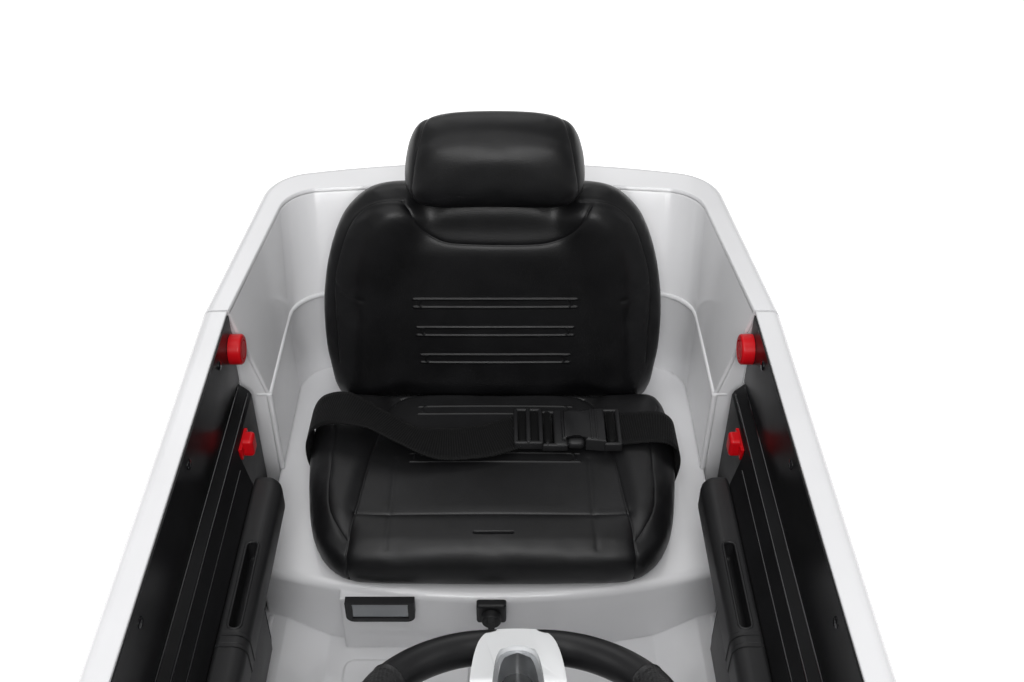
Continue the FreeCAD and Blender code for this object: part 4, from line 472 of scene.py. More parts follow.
# Depth and half width of each seam's valley and of the line in it
SEAMS = {
    "seam": ((-0.0012, 0.0045), (-0.0013, 0.0010)),
    "crease": ((-0.0006, 0.0030), (-0.0006, 0.0009)),
    "welt": ((0.0010, 0.0009),),
    "slit": ((-0.0040, 0.0010),),
    "faint": ((-0.0005, 0.0028),),
}
SEAM_STEP = 0.004  # between the points of a seam's route
SEAM_REACH = 0.02  # no seam presses further away than this
SEAM_BANDS = (0.0055, 0.0034)  # faces this close to a seam are divided, in turn


def sew(obj, lines):
    """Presses seams into a pad, or raises welts on it; each line is (points, closed, kind)."""
    tree = surface(obj.data)
    laid = []
    for points, closed, kind in lines:
        route = spline(points, SEAM_STEP, closed)
        if closed:
            route = np.concatenate([route, route[:1]])
        laid.append((np.array([tree.find_nearest(Vector(p))[0] for p in route]), kind))
    bm = bmesh.new()
    bm.from_mesh(obj.data)
    for band in SEAM_BANDS:
        co = np.array([v.co for v in bm.verts])
        close = np.full(len(co), 1.0)
        for line, _ in laid:
            close = np.minimum(close, line_distance(co, line, SEAM_REACH))
        bm.verts.index_update()
        picked = [e for e in bm.edges if close[e.verts[0].index] < band
                  and close[e.verts[1].index] < band]
        bmesh.ops.subdivide_edges(bm, edges=picked, cuts=1, use_grid_fill=True)
    bm.normal_update()
    bm.to_mesh(obj.data)
    bm.free()
    co, no = coordinates(obj.data), coordinates(obj.data, "normal")
    depth = np.zeros(len(co))
    for line, kind in laid:
        gap = line_distance(co, line, SEAM_REACH)
        for deep, wide in SEAMS[kind]:
            depth += deep * np.exp(-(gap / wide) ** 2)
    put_coordinates(obj.data, co + no * depth[:, None])
    obj.data.shade_smooth()


# Seat: cushion, backrest and headrest
LEAN = math.radians(15.0)
BACK_AT = np.array((0.0, 0.364, 0.250))
BACK_UP = np.array((0.0, math.sin(LEAN), math.cos(LEAN)))
BACK_OUT = np.array((0.0, -math.cos(LEAN), math.sin(LEAN)))
HEAD_ASIDE = 0.003  # headrest and welts sit this far to the left
OUTLINE_STEP = 0.006


def on_back(x, up, out=0.0):
    """A point of the backrest: across, up along it and out of its face."""
    return BACK_AT + np.array((x, 0, 0)) + BACK_UP * up + BACK_OUT * out


def back_coordinates(co):
    rel = co - BACK_AT
    return rel[:, 0], rel @ BACK_UP, rel @ BACK_OUT


def mirror_lines(lines):
    """Each line and its mirror image."""
    return lines + [([(-p[0], *p[1:]) for p in points], closed, kind)
                    for points, closed, kind in lines]


def pill(middle, half, tall, place):
    """The outline of a long rounded welt, as points given by place."""
    r = tall / 2
    points = []
    for side in (1, -1):
        for k in range(-3, 4):
            a = k / 3 * math.pi / 2
            points.append(place(side * (half - r + r * math.cos(a)),
                                middle + side * r * math.sin(a)))
    return points


# Cushion: half outline, then each ring's height and how far it is drawn in
CUSHION_BASE = 0.2054
CUSHION_HALF = ((0, 0.1225), (0.090, 0.1235), (0.132, 0.127), (0.150, 0.136), (0.165, 0.152),
                (0.178, 0.183), (0.186, 0.229), (0.191, 0.270), (0.1915, 0.310), (0.188, 0.350),
                (0.172, 0.362), (0.100, 0.363))
CUSHION_RINGS = ((0, 0.005), (0.008, 0.0005), (0.018, 0), (0.030, 0.0015), (0.038, 0.006),
                 (0.043, 0.014), (0.0455, 0.024))
CUSHION_SEAMS = (
    ([(0.098, 0.343, 0.257), (0.108, 0.325, 0.255), (0.121, 0.262, 0.253), (0.1295, 0.184, 0.252),
      (0.136, 0.140, 0.248), (0.138, 0.124, 0.235), (0.137, 0.121, 0.212)], False, "seam"),
    ([(0.176, 0.330, 0.254), (0.161, 0.290, 0.256), (0.159, 0.245, 0.257), (0.157, 0.207, 0.256),
      (0.150, 0.176, 0.252), (0.137, 0.150, 0.250)], False, "crease"),
    ([(0.0965, 0.250, 0.252), (0.0965, 0.179, 0.252), (0.098, 0.140, 0.249)], False, "faint"))
CUSHION_CROSS_SEAMS = (
    ([(-0.131, 0.180, 0.252), (-0.095, 0.1775, 0.252), (0, 0.1775, 0.253), (0.095, 0.1775, 0.252),
      (0.131, 0.180, 0.252)], False, "seam"),
    ([(-0.098, 0.343, 0.257), (-0.080, 0.351, 0.257), (-0.055, 0.3535, 0.257), (0, 0.354, 0.257),
      (0.055, 0.3535, 0.257), (0.080, 0.351, 0.257), (0.098, 0.343, 0.257)], False, "seam"),
    ([(-0.0155, 0.1537, 0.253), (0, 0.1537, 0.253), (0.0195, 0.1537, 0.253)], False, "slit"))
CUSHION_WELTS = ((0.3215, 0.076, 0.0115), (0.2518, 0.080, 0.0120))  # middle, half length, width
WELT_Z = 0.253
BOLSTER_LIFT, CROWN_LIFT, NOSE_DROP = 0.0065, 0.002, 0.006


def make_cushion():
    outline = spline(both_sides(CUSHION_HALF), OUTLINE_STEP, True)
    rings = []
    for up, by in CUSHION_RINGS:
        flat = inset(outline, by)
        rings.append(np.column_stack([flat, np.full(len(flat), CUSHION_BASE + up)]))

    def shape(co):
        """Raises the bolsters, the rear ridge and the crown, and drops the front corners."""
        x, y, z = co.T
        wide = np.abs(x)
        side = 0.121 + (0.262 - y) * 0.12
        top = smoothstep(z, CUSHION_BASE + 0.036, CUSHION_BASE + 0.044)
        bolster = smoothstep(wide, side - 0.006, side + 0.014) * smoothstep(y, 0.128, 0.19)
        ridge = smoothstep(y, 0.340, 0.356)
        crown = (1 - (x / 0.13) ** 2).clip(0, 1)
        nose = (1 - smoothstep(y, 0.122, 0.185)) * smoothstep(wide, side - 0.002, side + 0.006)
        co = co.copy()
        co[:, 2] += top * (BOLSTER_LIFT * np.maximum(bolster, ridge) + CROWN_LIFT * crown
                           - NOSE_DROP * nose)
        return co

    obj = padded_form("seat_cushion_pad", rings, 0.005, shape, cap=0.003, calm=2)
    lines = mirror_lines(list(CUSHION_SEAMS)) + list(CUSHION_CROSS_SEAMS)
    for welt in CUSHION_WELTS:
        lines.append((pill(*welt, lambda a, b: (a + HEAD_ASIDE, b, WELT_Z)), True, "welt"))
    sew(obj, lines)
    return obj


# Backrest: half outline, then each ring's depth and how far it is drawn in
BACK_HALF = ((0, -0.028), (0.120, -0.028), (0.160, -0.024), (0.174, -0.010), (0.1785, 0.012),
             (0.182, 0.047), (0.1815, 0.093), (0.178, 0.125), (0.171, 0.155), (0.157, 0.190),
             (0.135, 0.213), (0.112, 0.2215), (0.085, 0.2235), (0.040, 0.224))
BACK_RINGS = ((0.000, 0.030), (-0.0015, 0.017), (-0.006, 0.007), (-0.015, 0.001), (-0.026, 0),
              (-0.040, 0.001), (-0.0495, 0.006))
BACK_SEAM = ((0.089, 0.2095), (0.118, 0.207), (0.137, 0.196), (0.149, 0.178), (0.161, 0.145),
             (0.166, 0.122), (0.1665, 0.090), (0.165, 0.030))
BACK_TUCK = ((0.166, 0.121), (0.151, 0.112), (0.135, 0.105))
NECK_LINE = ((-0.0901, 0.2070), (-0.0806, 0.1886), (-0.0683, 0.1764), (-0.0482, 0.1657),
             (-0.0176, 0.1630), (0.0233, 0.1625), (0.0540, 0.1641), (0.0742, 0.1711),
             (0.0892, 0.1833), (0.1012, 0.2018))
BACK_WELTS = ((0.1003, 0.079), (0.0684, 0.0765), (0.0369, 0.0735))  # height, half length
BACK_WELT_WIDE = 0.0092
BACK_BOLSTER, BACK_CROWN, NECK_DIP = 0.007, 0.003, 0.004


def make_back():
    outline = spline(both_sides(BACK_HALF), OUTLINE_STEP, True)
    rings = [np.array([on_back(a, b, out) for a, b in inset(outline, by)])
             for out, by in BACK_RINGS]

    def shape(co):
        """Swells the bolsters and the middle, and dips the neck under the headrest."""
        x, up, out = back_coordinates(co)
        wide = np.abs(x)
        front = smoothstep(out, -0.008, -0.001)
        edge = 0.140 - 0.030 * smoothstep(up, 0.10, 0.20)
        bolster = smoothstep(wide, edge - 0.050, edge) * (1 - smoothstep(wide, edge + 0.012, 0.178))
        neck = (1 - smoothstep(wide, 0.060, 0.090)) * smoothstep(up, 0.150, 0.185)
        crown = (1 - (x / 0.18) ** 2).clip(0, 1)
        swell = BACK_BOLSTER * bolster + BACK_CROWN * crown - NECK_DIP * neck
        return co + BACK_OUT * (front * swell)[:, None]

    def sewn(points, kind):
        return [on_back(*p) for p in points], False, kind

    obj = padded_form("seat_back_pad", rings, 0.005, shape, cap=0.004, calm=3)
    lines = mirror_lines([sewn(BACK_SEAM, "crease"), sewn(BACK_TUCK, "faint")])
    lines.append(sewn(NECK_LINE, "crease"))
    for up, reach in BACK_WELTS:
        welt = pill(up, reach, BACK_WELT_WIDE, lambda a, b: on_back(a + HEAD_ASIDE, b))
        lines.append((welt, True, "welt"))
    sew(obj, lines)
    return obj


# Headrest: its half width, as a share of its widest, at shares of its height; then its rings
HEAD_FORM = ((0.60, 0.00), (0.80, 0.03), (0.93, 0.10), (1.00, 0.23), (0.99, 0.42), (0.96, 0.62),
             (0.91, 0.79), (0.85, 0.91), (0.76, 0.975), (0.50, 1.00))
HEAD_RINGS = (  # out of the face, half width, low, high, crown
    (0.036, 0.060, 0.224, 0.258, 0.002), (0.035, 0.074, 0.214, 0.268, 0.003),
    (0.030, 0.083, 0.2085, 0.277, 0.004), (0.019, 0.0885, 0.2065, 0.285, 0.005),
    (0.009, 0.0900, 0.2085, 0.290, 0.006), (0.001, 0.0900, 0.2145, 0.292, 0.006),
    (-0.006, 0.0895, 0.2225, 0.292, 0.006), (-0.013, 0.0885, 0.2275, 0.291, 0.006),
    (-0.022, 0.0845, 0.2290, 0.288, 0.005), (-0.031, 0.0765, 0.2330, 0.281, 0.004),
    (-0.035, 0.0620, 0.2400, 0.270, 0.002))
HEAD_SEAM = ((0.060, 0.290, -0.034), (0.068, 0.297, -0.014), (0.0725, 0.291, 0.010),
             (0.0780, 0.277, 0.027), (0.0830, 0.252, 0.034), (0.0855, 0.228, 0.032),
             (0.0810, 0.209, 0.022))
HEAD_POINTS = 120  # of each ring


def make_headrest():
    def outline(wide, low, high, crown):
        half = [(0, low)] + [(wide * w, low + (high - low) * t) for w, t in HEAD_FORM]
        half[-1] = (half[-1][0], high + crown * 0.7)
        half.append((0, high + crown))
        return even(spline(both_sides(half), 0.004, True), HEAD_POINTS)

    def on_head(a, b, out):
        return on_back(a + HEAD_ASIDE, b, out)

    rings = [np.array([on_head(a, b, out) for a, b in outline(*ring)]) for out, *ring in HEAD_RINGS]
    obj = padded_form("headrest_pad", rings, 0.0045, lambda co: co, cap=0.002, calm=10)
    sew(obj, [([on_head(side * a, b, out) for a, b, out in HEAD_SEAM], False, "crease")
              for side in (1, -1)])
    return obj


def make_seat():
    for make, node, fill in ((make_cushion, "seat_cushion", 0.8), (make_back, "seat_back", 0.8),
                             (make_headrest, "headrest", 0.85)):
        obj = make()
        dress(obj, "seat_leather")
        # The backrest and headrest get the darker copy of the leather, which is painted shade.
        if node != "seat_cushion":
            obj.data.materials[0] = SHADED_LEATHER_COPY
        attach(obj, "chassis")
        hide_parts(node)


make_seat()


# Rounded hard pieces
SHARP = math.radians(35)  # edges turning more than this stay sharp
BEVEL = {"segments": 3, "profile": 0.5, "affect": "EDGES"}


def add_box(bm, low, high, radius):
    """A box with rounded edges, added to a mesh under way."""
    low, high = Vector(low), Vector(high)
    made = bmesh.ops.create_cube(bm, size=1.0)["verts"]
    for v in made:
        v.co = Vector([low[i] + (v.co[i] + 0.5) * (high[i] - low[i]) for i in range(3)])
    edges = list({e for v in made for e in v.link_edges})
    bmesh.ops.bevel(bm, geom=edges, offset=radius, **BEVEL)


def add_slab(bm, outline, low, high, bevel, place):
    """A plate over an outline of (a, b), its upper edge rounded.

    place gives the point of (a, b, height).
    """
    count = len(outline)
    lower = [bm.verts.new((a, b, low)) for a, b in outline]
    upper = [bm.verts.new((a, b, high)) for a, b in outline]
    bm.faces.new(lower[::-1])
    lid = bm.faces.new(upper)
    for i in range(count):
        j = (i + 1) % count
        bm.faces.new((lower[i], lower[j], upper[j], upper[i]))
    made = bmesh.ops.bevel(bm, geom=list(lid.edges), offset=bevel, **BEVEL)
    for v in set(lower) | set(made["verts"]):
        v.co = place(*v.co)


def circle(bm, centre, radius, side, other, sides):
    """A ring of new points in the plane of side and other."""
    turns = np.linspace(0, 2 * math.pi, sides, endpoint=False)
    return [bm.verts.new(centre + radius * (math.cos(a) * side + math.sin(a) * other))
            for a in turns]


def add_tube(bm, path, radii, sides):
    """A round bar along a path, with one radius or one at each point, and flat ends."""
    path = np.array(path, float)
    radii = np.broadcast_to(radii, len(path))
    along = np.gradient(path, axis=0)
    along /= np.linalg.norm(along, axis=1)[:, None]
    side = np.cross(along[0], (0.31, 0.52, 0.79))
    rings = []
    for point, forward, radius in zip(path, along, radii):
        side = side - forward * (side @ forward)
        side /= np.linalg.norm(side)
        rings.append(circle(bm, point, radius, side, np.cross(forward, side), sides))
    for first, second in zip(rings, rings[1:]):
        for i in range(sides):
            j = (i + 1) % sides
            bm.faces.new((first[i], first[j], second[j], second[i]))
    bm.faces.new(rings[0][::-1])
    bm.faces.new(rings[-1])


def piece(name, bm, slot, body, *stands_for):
    """A finished hard piece from a mesh under way."""
    bmesh.ops.recalc_face_normals(bm, faces=bm.faces)
    mesh = bpy.data.meshes.new(name)
    bm.to_mesh(mesh)
    bm.free()
    mesh.shade_smooth()
    mesh.set_sharp_from_angle(angle=SHARP)
    return new_object(name, mesh, slot, body, *stands_for)


def bar_piece(name, slot, body, *bars):
    """A piece of round bars, each given as (path, radii, sides)."""
    bm = bmesh.new()
    for bar in bars:
        add_tube(bm, *bar)
    return piece(name, bm, slot, body)


# Lap belt and buckle
BELT_WIDE, BELT_THICK = 0.045, 0.0014
BELT_STEP, BELT_LANES = 0.0035, 8  # of its mesh, along and across
BELT_RIGHT = (  # middle of the webbing, and the way across it
    ((-0.1860, 0.297, 0.2075), (0, 1, 0)), ((-0.1902, 0.297, 0.2330), (0, 1, 0)),
    ((-0.1872, 0.297, 0.2570), (0.04, 1, 0.04)), ((-0.1755, 0.297, 0.2755), (0.10, 1, 0.10)),
    ((-0.1520, 0.292, 0.2855), (0.20, 0.95, 0.06)), ((-0.1180, 0.282, 0.2800), (0.20, 0.92, -0.30)),
    ((-0.0840, 0.267, 0.2715), (0.10, 0.95, -0.30)), ((-0.0510, 0.260, 0.2665), (-0.08, 1, 0.00)),
    ((-0.0120, 0.264, 0.2655), (-0.14, 1, 0.02)), ((0.0140, 0.2725, 0.2660), (-0.10, 1, 0.01)),
    ((0.0300, 0.2795, 0.2665), (-0.03, 1, 0)))
BELT_LEFT = (
    ((0.118, 0.2805, 0.2660), (0.03, 1, 0)), ((0.140, 0.2835, 0.2655), (0.06, 1, 0)),
    ((0.163, 0.2845, 0.2665), (0.02, 1, 0)), ((0.1765, 0.2830, 0.2650), (-0.03, 1, 0)),
    ((0.1866, 0.2815, 0.2560), (-0.03, 1, 0)), ((0.1902, 0.2805, 0.2370), (0, 1, 0)),
    ((0.1860, 0.2805, 0.2075), (0, 1, 0)))


def webbing(name, stations, node):
    """A strap of even width along a curve, woven along its length."""
    middles = spline([m for m, w in stations], BELT_STEP)
    given = np.array([w for m, w in stations], float)
    steps = [np.linalg.norm(b - a) for a, b in zip(middles, middles[1:])]
    marks = [int(np.argmin(np.linalg.norm(middles - np.array(m), axis=1)))
             for m, w in stations]
    ways = np.stack([np.interp(np.arange(len(middles)), marks, given[:, k])
                     for k in range(3)], 1)
    along = np.gradient(middles, axis=0)
    along /= np.linalg.norm(along, axis=1)[:, None]
    ways -= along * np.sum(ways * along, axis=1)[:, None]
    ways /= np.linalg.norm(ways, axis=1)[:, None]
    run = np.concatenate([[0], np.cumsum(steps)])
    row = BELT_LANES + 1
    across = np.linspace(-0.5, 0.5, row) * BELT_WIDE
    points = np.concatenate([m + w * across[:, None] for m, w in zip(middles, ways)])
    faces = []
    for i in range(len(middles) - 1):
        for k in range(BELT_LANES):
            a = i * row + k
            faces.append((a, a + 1, a + row + 1, a + row))
    obj = new_object(name, mesh_of(name, points, faces), "webbing", "chassis", node)
    layer = obj.data.uv_layers.new(name="weave")
    for loop in obj.data.loops:
        i, k = divmod(loop.vertex_index, row)
        layer.data[loop.index].uv = (run[i], across[k])
    thick = obj.modifiers.new("thick", "SOLIDIFY")
    thick.thickness = BELT_THICK
    thick.offset = 0.0
    settle(obj)


# Buckle: boxes as (x from, x to, y margin, low, high, rounding), heights above its underside
BUCKLE_Y, BUCKLE_Z = (0.2545, 0.3065), 0.2595
PLUG_BARS = (
    (0.0218, 0.0262, 0, 0.0050, 0.0135, 0.0019), (0.0343, 0.0387, 0, 0.0060, 0.0145, 0.0019),
    (0.0468, 0.0512, 0, 0.0050, 0.0135, 0.0019), (0.0535, 0.0575, 0, 0.0010, 0.0105, 0.0019),
    (0.0620, 0.0760, 0, 0, 0.0110, 0.0030))
STRAP_LOOPS = (
    (0.0265, 0.0350, 0.0035, 0.0070, 0.0125, 0.0026),
    (0.0380, 0.0470, 0.0035, 0.0070, 0.0125, 0.0026),
    (0.0520, 0.0605, 0.0035, 0.0040, 0.0120, 0.0034),
    (0.1160, 0.1245, 0.0035, 0.0030, 0.0125, 0.0034))
SOCKET_BARS = (
    (0.0988, 0.1012, 0.0045, 0.0130, 0.0160, 0.0008),
    (0.1038, 0.1062, 0.0045, 0.0130, 0.0160, 0.0008), (0.1255, 0.1300, 0, 0.0010, 0.0120, 0.0020))
# Rails as (x from, x to, in from the edge, half width, low, high, rounding), one at each edge
PLUG_RAILS = ((0.0220, 0.0510, 0.0020, 0.0022, 0.0035, 0.0135, 0.0019),
              (0.0500, 0.0760, 0.0020, 0.0022, 0.0010, 0.0100, 0.0019))
SOCKET_RAILS = ((0.0755, 0.0925, 0.0055, 0.0050, 0.0025, 0.0125, 0.0040),
                (0.1120, 0.1300, 0.0015, 0.0020, 0.0010, 0.0120, 0.0018))
# Front half of the socket's outline
SOCKET_HALF = ((0.0700, 0.2600), (0.0740, 0.2590), (0.0760, 0.2640), (0.0800, 0.2665),
               (0.0880, 0.2665), (0.0920, 0.2640), (0.0940, 0.2585), (0.1140, 0.2560))
SOCKET_TALL, SOCKET_ROUND = 0.0150, 0.0028


def make_buckle():
    """The slider and plug on the right strap, and the socket on the left one."""
    front, rear = BUCKLE_Y

    def add_bars(bm, bars, rails=()):
        for x0, x1, margin, low, high, radius in bars:
            add_box(bm, (x0, front + margin, BUCKLE_Z + low), (x1, rear - margin, BUCKLE_Z + high),
                    radius)
        for x0, x1, edge, half, low, high, radius in rails:
            for y in (front + edge, rear - edge):
                add_box(bm, (x0, y - half, BUCKLE_Z + low), (x1, y + half, BUCKLE_Z + high), radius)

    bm = bmesh.new()
    add_bars(bm, PLUG_BARS, PLUG_RAILS)
    piece("buckle_plug_detail", bm, "black_matte", "chassis", "buckle_plug")
    bm = bmesh.new()
    add_bars(bm, STRAP_LOOPS)
    piece("buckle_webbing_loops", bm, "webbing", "chassis")
    bm = bmesh.new()
    outline = list(SOCKET_HALF) + [(x, front + rear - y) for x, y in reversed(SOCKET_HALF)]
    add_slab(bm, outline, BUCKLE_Z, BUCKLE_Z + SOCKET_TALL, SOCKET_ROUND, lambda *p: p)
    add_bars(bm, SOCKET_BARS, SOCKET_RAILS)
    piece("buckle_socket_detail", bm, "black_matte", "chassis", "buckle_socket")


webbing("belt_right_webbing", BELT_RIGHT, "seat_belt_right")
webbing("belt_left_webbing", BELT_LEFT, "seat_belt_left")
make_buckle()


# Steering wheel: trim over the lower spoke and perforated grips
TILT = math.radians(62.5)
WHEEL_AT = np.array((0.020, -0.147, 0.430))
WHEEL_OUT = np.array((0, math.cos(TILT), math.sin(TILT)))
WHEEL_UP = np.array((0, -math.sin(TILT), math.cos(TILT)))
RING_R, GRIP_R = 0.094, 0.012


def on_wheel(u, v, w):
    """A point of the steering wheel: across, up in its plane and out of it."""
    return Vector(WHEEL_AT + np.array((u, 0, 0)) + WHEEL_UP * v + WHEEL_OUT * w)


# Trim over the lower spoke: half outlines, heights of its underside and top, and rounding
TRIM_OUTER = ((0.0310, -0.020), (0.0300, -0.041), (0.0283, -0.058), (0.0256, -0.072),
              (0.0215, -0.081), (0.0160, -0.0856), (0.0070, -0.0870))
TRIM_INNER = ((0.0165, -0.020), (0.0155, -0.038), (0.0135, -0.053), (0.0100, -0.0625),
              (0.0045, -0.0665))
TRIM_LINING = tuple((u - 0.0028, v + 0.0030) for u, v in TRIM_INNER)
TRIM_LOW, TRIM_HIGH, TRIM_ROUND = -0.006, 0.0150, 0.0024
LINING_HIGH, LINING_ROUND = 0.0105, 0.0012
TRIM_SLOPE, TRIM_END = 0.05, 0.087  # the top falls towards the hub, from the end on
GRIP_ARC, GRIP_STEPS = (-27.0, 42.0), 48
GRIP_ENDS = (-0.0004, 0.0009, 0.0001)  # over the ring's radius, from each end inwards
GRIP_MIDDLE = 0.0004


def make_wheel_details():
    def arch(half):
        return spline(list(half) + [(-u, v) for u, v in reversed(half)], 0.003)

    def sloped(a, b, c):
        return on_wheel(a, b, c - TRIM_SLOPE * max(0.0, b + TRIM_END) if c > 0 else c)

    def frame_between(outer, inner, high, rounding):
        bm = bmesh.new()
        add_slab(bm, np.concatenate([arch(outer), arch(inner)[::-1]]), TRIM_LOW, high, rounding,
                 sloped)
        return bm

    piece("steering_trim_frame", frame_between(TRIM_OUTER, TRIM_INNER, TRIM_HIGH, TRIM_ROUND),
          "bright_trim", "steering", "steering_trim")
    piece("steering_trim_lining", frame_between(TRIM_INNER, TRIM_LINING, LINING_HIGH, LINING_ROUND),
          "steel", "steering")
    for side, sign in (("left", 1), ("right", -1)):
        path = [on_wheel(sign * RING_R * math.cos(a), RING_R * math.sin(a), 0)
                for a in np.radians(np.linspace(*GRIP_ARC, GRIP_STEPS))]
        radii = np.full(GRIP_STEPS, GRIP_R + GRIP_MIDDLE)
        for k, over in enumerate(GRIP_ENDS):
            radii[[k, -1 - k]] = GRIP_R + over
        grip = bar_piece(f"steering_grip_{side}", "wheel_grip", "steering", (path, radii, 28))
        grip.data.materials[0] = PERFORATED


make_wheel_details()


# Doors: armrests with bands and a pull slot, screw seats, beads along the ledge, bin and handle
ARMREST_X, ARMREST_Z = (0.196, 0.222), (0.252, 0.291)
ARMREST_Y = (-0.104, 0.196)
ARMREST_ROUND = 0.014  # rounding of its ends
ARMREST_CORNERS = (0.003, 0.004, 0.012, 0.007)  # outer low, outer high, inner high, inner low
ARMREST_END = 0.55  # size of its end faces, as a share
ARMREST_BANDS = (0.004, 0.015)
BAND_STOPS = ((-0.0026, 1.0), (-0.0022, 0.985), (-0.0016, 1.03))  # off a band's middle, and size
PULL_SLOT = ((0.204, 0.020, 0.268), (0.215, 0.112, 0.300))
SLOT_ROUND, SLOT_MITRE = 0.004, 0.0012  # corner radius, and its middle's inset
SLOT_RIM_Z, SLOT_RIM_R = 0.2903, 0.0013
DOOR_FACE = 0.2700
HANDLE = ((0.166, -0.003), (0.172, 0.004), (0.182, 0.0085), (0.208, 0.0095), (0.234, 0.0085),
          (0.244, 0.004), (0.250, -0.003))  # along the door, and out of its face
HANDLE_Z, HANDLE_R = 0.362, 0.0058
SCREWS_Y, SCREWS_Z = (-0.115, -0.054, 0.101, 0.225), 0.398
SCREW = ((0.2455, 0.0046), (0.2440, 0.0046), (0.2432, 0.0034))  # across, and radius
BEADS = (  # x, z, y range, points, radius
    (0.2372, 0.3252, (-0.136, 0.268), 12, 0.0010), (0.2455, 0.3338, (-0.136, 0.268), 12, 0.0010),
    (0.2305, 0.3095, (-0.136, 0.180), 10, 0.0008))
BIN = ((0.2040, -0.096, 0.156), (0.2215, 0.100, 0.2505))
BIN_ROUND = 0.0140


def add_side_box(bm, sign, low, high, radius):
    """A rounded box given for the +X side, on the side of sign."""
    near, far = sorted((sign * low[0], sign * high[0]))
    add_box(bm, (near, *low[1:]), (far, *high[1:]), radius)


def make_armrest(side, sign):
    """A rounded bar with two bands, cut by the pull slot."""
    (inner, outer), (low, high) = ARMREST_X, ARMREST_Z
    section = []
    for x, z, r, first in zip((outer, outer, inner, inner), (low, high, high, low),
                              ARMREST_CORNERS, (-90, 0, 90, 180)):
        cx = x - r if x == outer else x + r
        cz = z + r if z == low else z - r
        for a in np.radians(np.linspace(first, first + 90, 8)):
            section.append((cx + r * math.cos(a), cz + r * math.sin(a)))
    section = np.array(section)
    hold = np.array((outer, (low + high) / 2))
    front, rear = ARMREST_Y
    start = [(front + ARMREST_ROUND * (1 - math.cos(t)),
              ARMREST_END + (1 - ARMREST_END) * math.sin(t))
             for t in np.radians((0, 15, 35, 55, 75, 90))]
    stops = list(BAND_STOPS) + [(-by, size) for by, size in reversed(BAND_STOPS)]
    bands = [(y + by, size) for y in ARMREST_BANDS for by, size in stops]
    finish = [(rear - (y - front), size) for y, size in reversed(start)]
    rings = []
    for y, size in start + bands + finish:
        flat = hold + (section - hold) * size
        rings.append(np.column_stack([sign * flat[:, 0], np.full(len(flat), y), flat[:, 1]]))
    bar = new_object(f"door_armrest_bar_{side}", stack("bar", rings), "black_matte",
                     f"door_{side}", f"door_armrest_{side}")
    bm = bmesh.new()
    add_side_box(bm, sign, *PULL_SLOT, SLOT_ROUND)
    mesh = bpy.data.meshes.new("slot")
    bm.to_mesh(mesh)
    bm.free()
    tool = linked("slot", mesh)
    cut = bar.modifiers.new("cut", "BOOLEAN")
    cut.operation = "DIFFERENCE"
    cut.solver = "EXACT"
    cut.object = tool
    settle(bar)
    bpy.data.objects.remove(tool)
    bar.data.set_sharp_from_angle(angle=SHARP)


def slot_rim():
    """The pull slot's outline as (x, y), closed on itself, with mitred corners."""
    (x0, y0, _), (x1, y1, _) = PULL_SLOT
    r, m = SLOT_ROUND, SLOT_MITRE
    return [(x0, y0 + r), (x0 + m, y0 + m), (x0 + r, y0), (x1 - r, y0), (x1 - m, y0 + m),
            (x1, y0 + r), (x1, y1 - r), (x1 - m, y1 - m), (x1 - r, y1), (x0 + r, y1),
            (x0 + m, y1 - m), (x0, y1 - r), (x0, y0 + r)]


def make_door_details(side, sign):
    body = f"door_{side}"

    def spot(x, y, z):
        return (sign * x, y, z)

    screws = [([spot(x, y, SCREWS_Z) for x, _ in SCREW], [r for _, r in SCREW], 20)
              for y in SCREWS_Y]
    beads = [([spot(x, y, z) for y in np.linspace(*reach, count)], radius, 10)
             for x, z, reach, count, radius in BEADS]
    bar_piece(f"door_trim_{side}", "black_gloss", body, *screws, *beads)
    bm = bmesh.new()
    add_side_box(bm, sign, *BIN, BIN_ROUND)
    piece(f"door_bin_{side}", bm, "black_matte", body)
    rim = [spot(x, y, SLOT_RIM_Z) for x, y in slot_rim()]
    bar_piece(f"door_slot_rim_{side}", "black_matte", body, (rim, SLOT_RIM_R, 12))
    handle = spline([(y, DOOR_FACE + out) for y, out in HANDLE], 0.003)
    handle = [spot(x, y, HANDLE_Z) for y, x in handle]
    bar_piece(f"door_handle_{side}", "white_gloss", body, (handle, HANDLE_R, 18))
    make_armrest(side, sign)


for door_side, door_sign in (("left", 1), ("right", -1)):
    make_door_details(door_side, door_sign)


# Lamps: lens domes, bezels and light bars in front, ribs at the back
LENS = ((0, 0.0042), (0.0050, 0.0039), (0.0090, 0.0028), (0.0118, 0.0010), (0.0122, -0.0020),
        (0, -0.0020))  # radius and height
BEZEL = ((0.0128, -0.0020), (0.0128, 0.0022), (0.0142, 0.0034), (0.0160, 0.0028),
         (0.0168, 0.0005), (0.0168, -0.0020), (0.0128, -0.0020))
LENSES_X, LENSES_Z = (0.172, 0.214), 0.3
BAR_X, BAR_Z, BAR_POINTS, BAR_OUT, BAR_R = (0.152, 0.246), 0.2735, 24, 0.0004, 0.0020
RIB_X, RIBS_Z, RIB_POINTS = (0.164, 0.246), (0.308, 0.327, 0.346), 22
RIB_OUT, RIB_R = 0.0002, 0.0024
AHEAD, ASTERN, DOWN = Vector((0, -1, 0)), Vector((0, 1, 0)), Vector((0, 0, -1))


def add_lathe(bm, centre, axis, profile, sides=28):
    """A turned form about an axis: profile of (radius, height), closed on itself or at the axis."""
    axis = Vector(axis).normalized()
    side = axis.orthogonal().normalized()
    other = axis.cross(side)
    rings = []
    for radius, height in profile:
        base = Vector(centre) + axis * height
        rings.append(circle(bm, base, radius, side, other, sides) if radius
                     else [bm.verts.new(base)] * sides)
    for first, second in zip(rings, rings[1:]):
        for i in range(sides):
            j = (i + 1) % sides
            corners = dict.fromkeys((first[i], first[j], second[j], second[i]))
            bm.faces.new(tuple(corners))


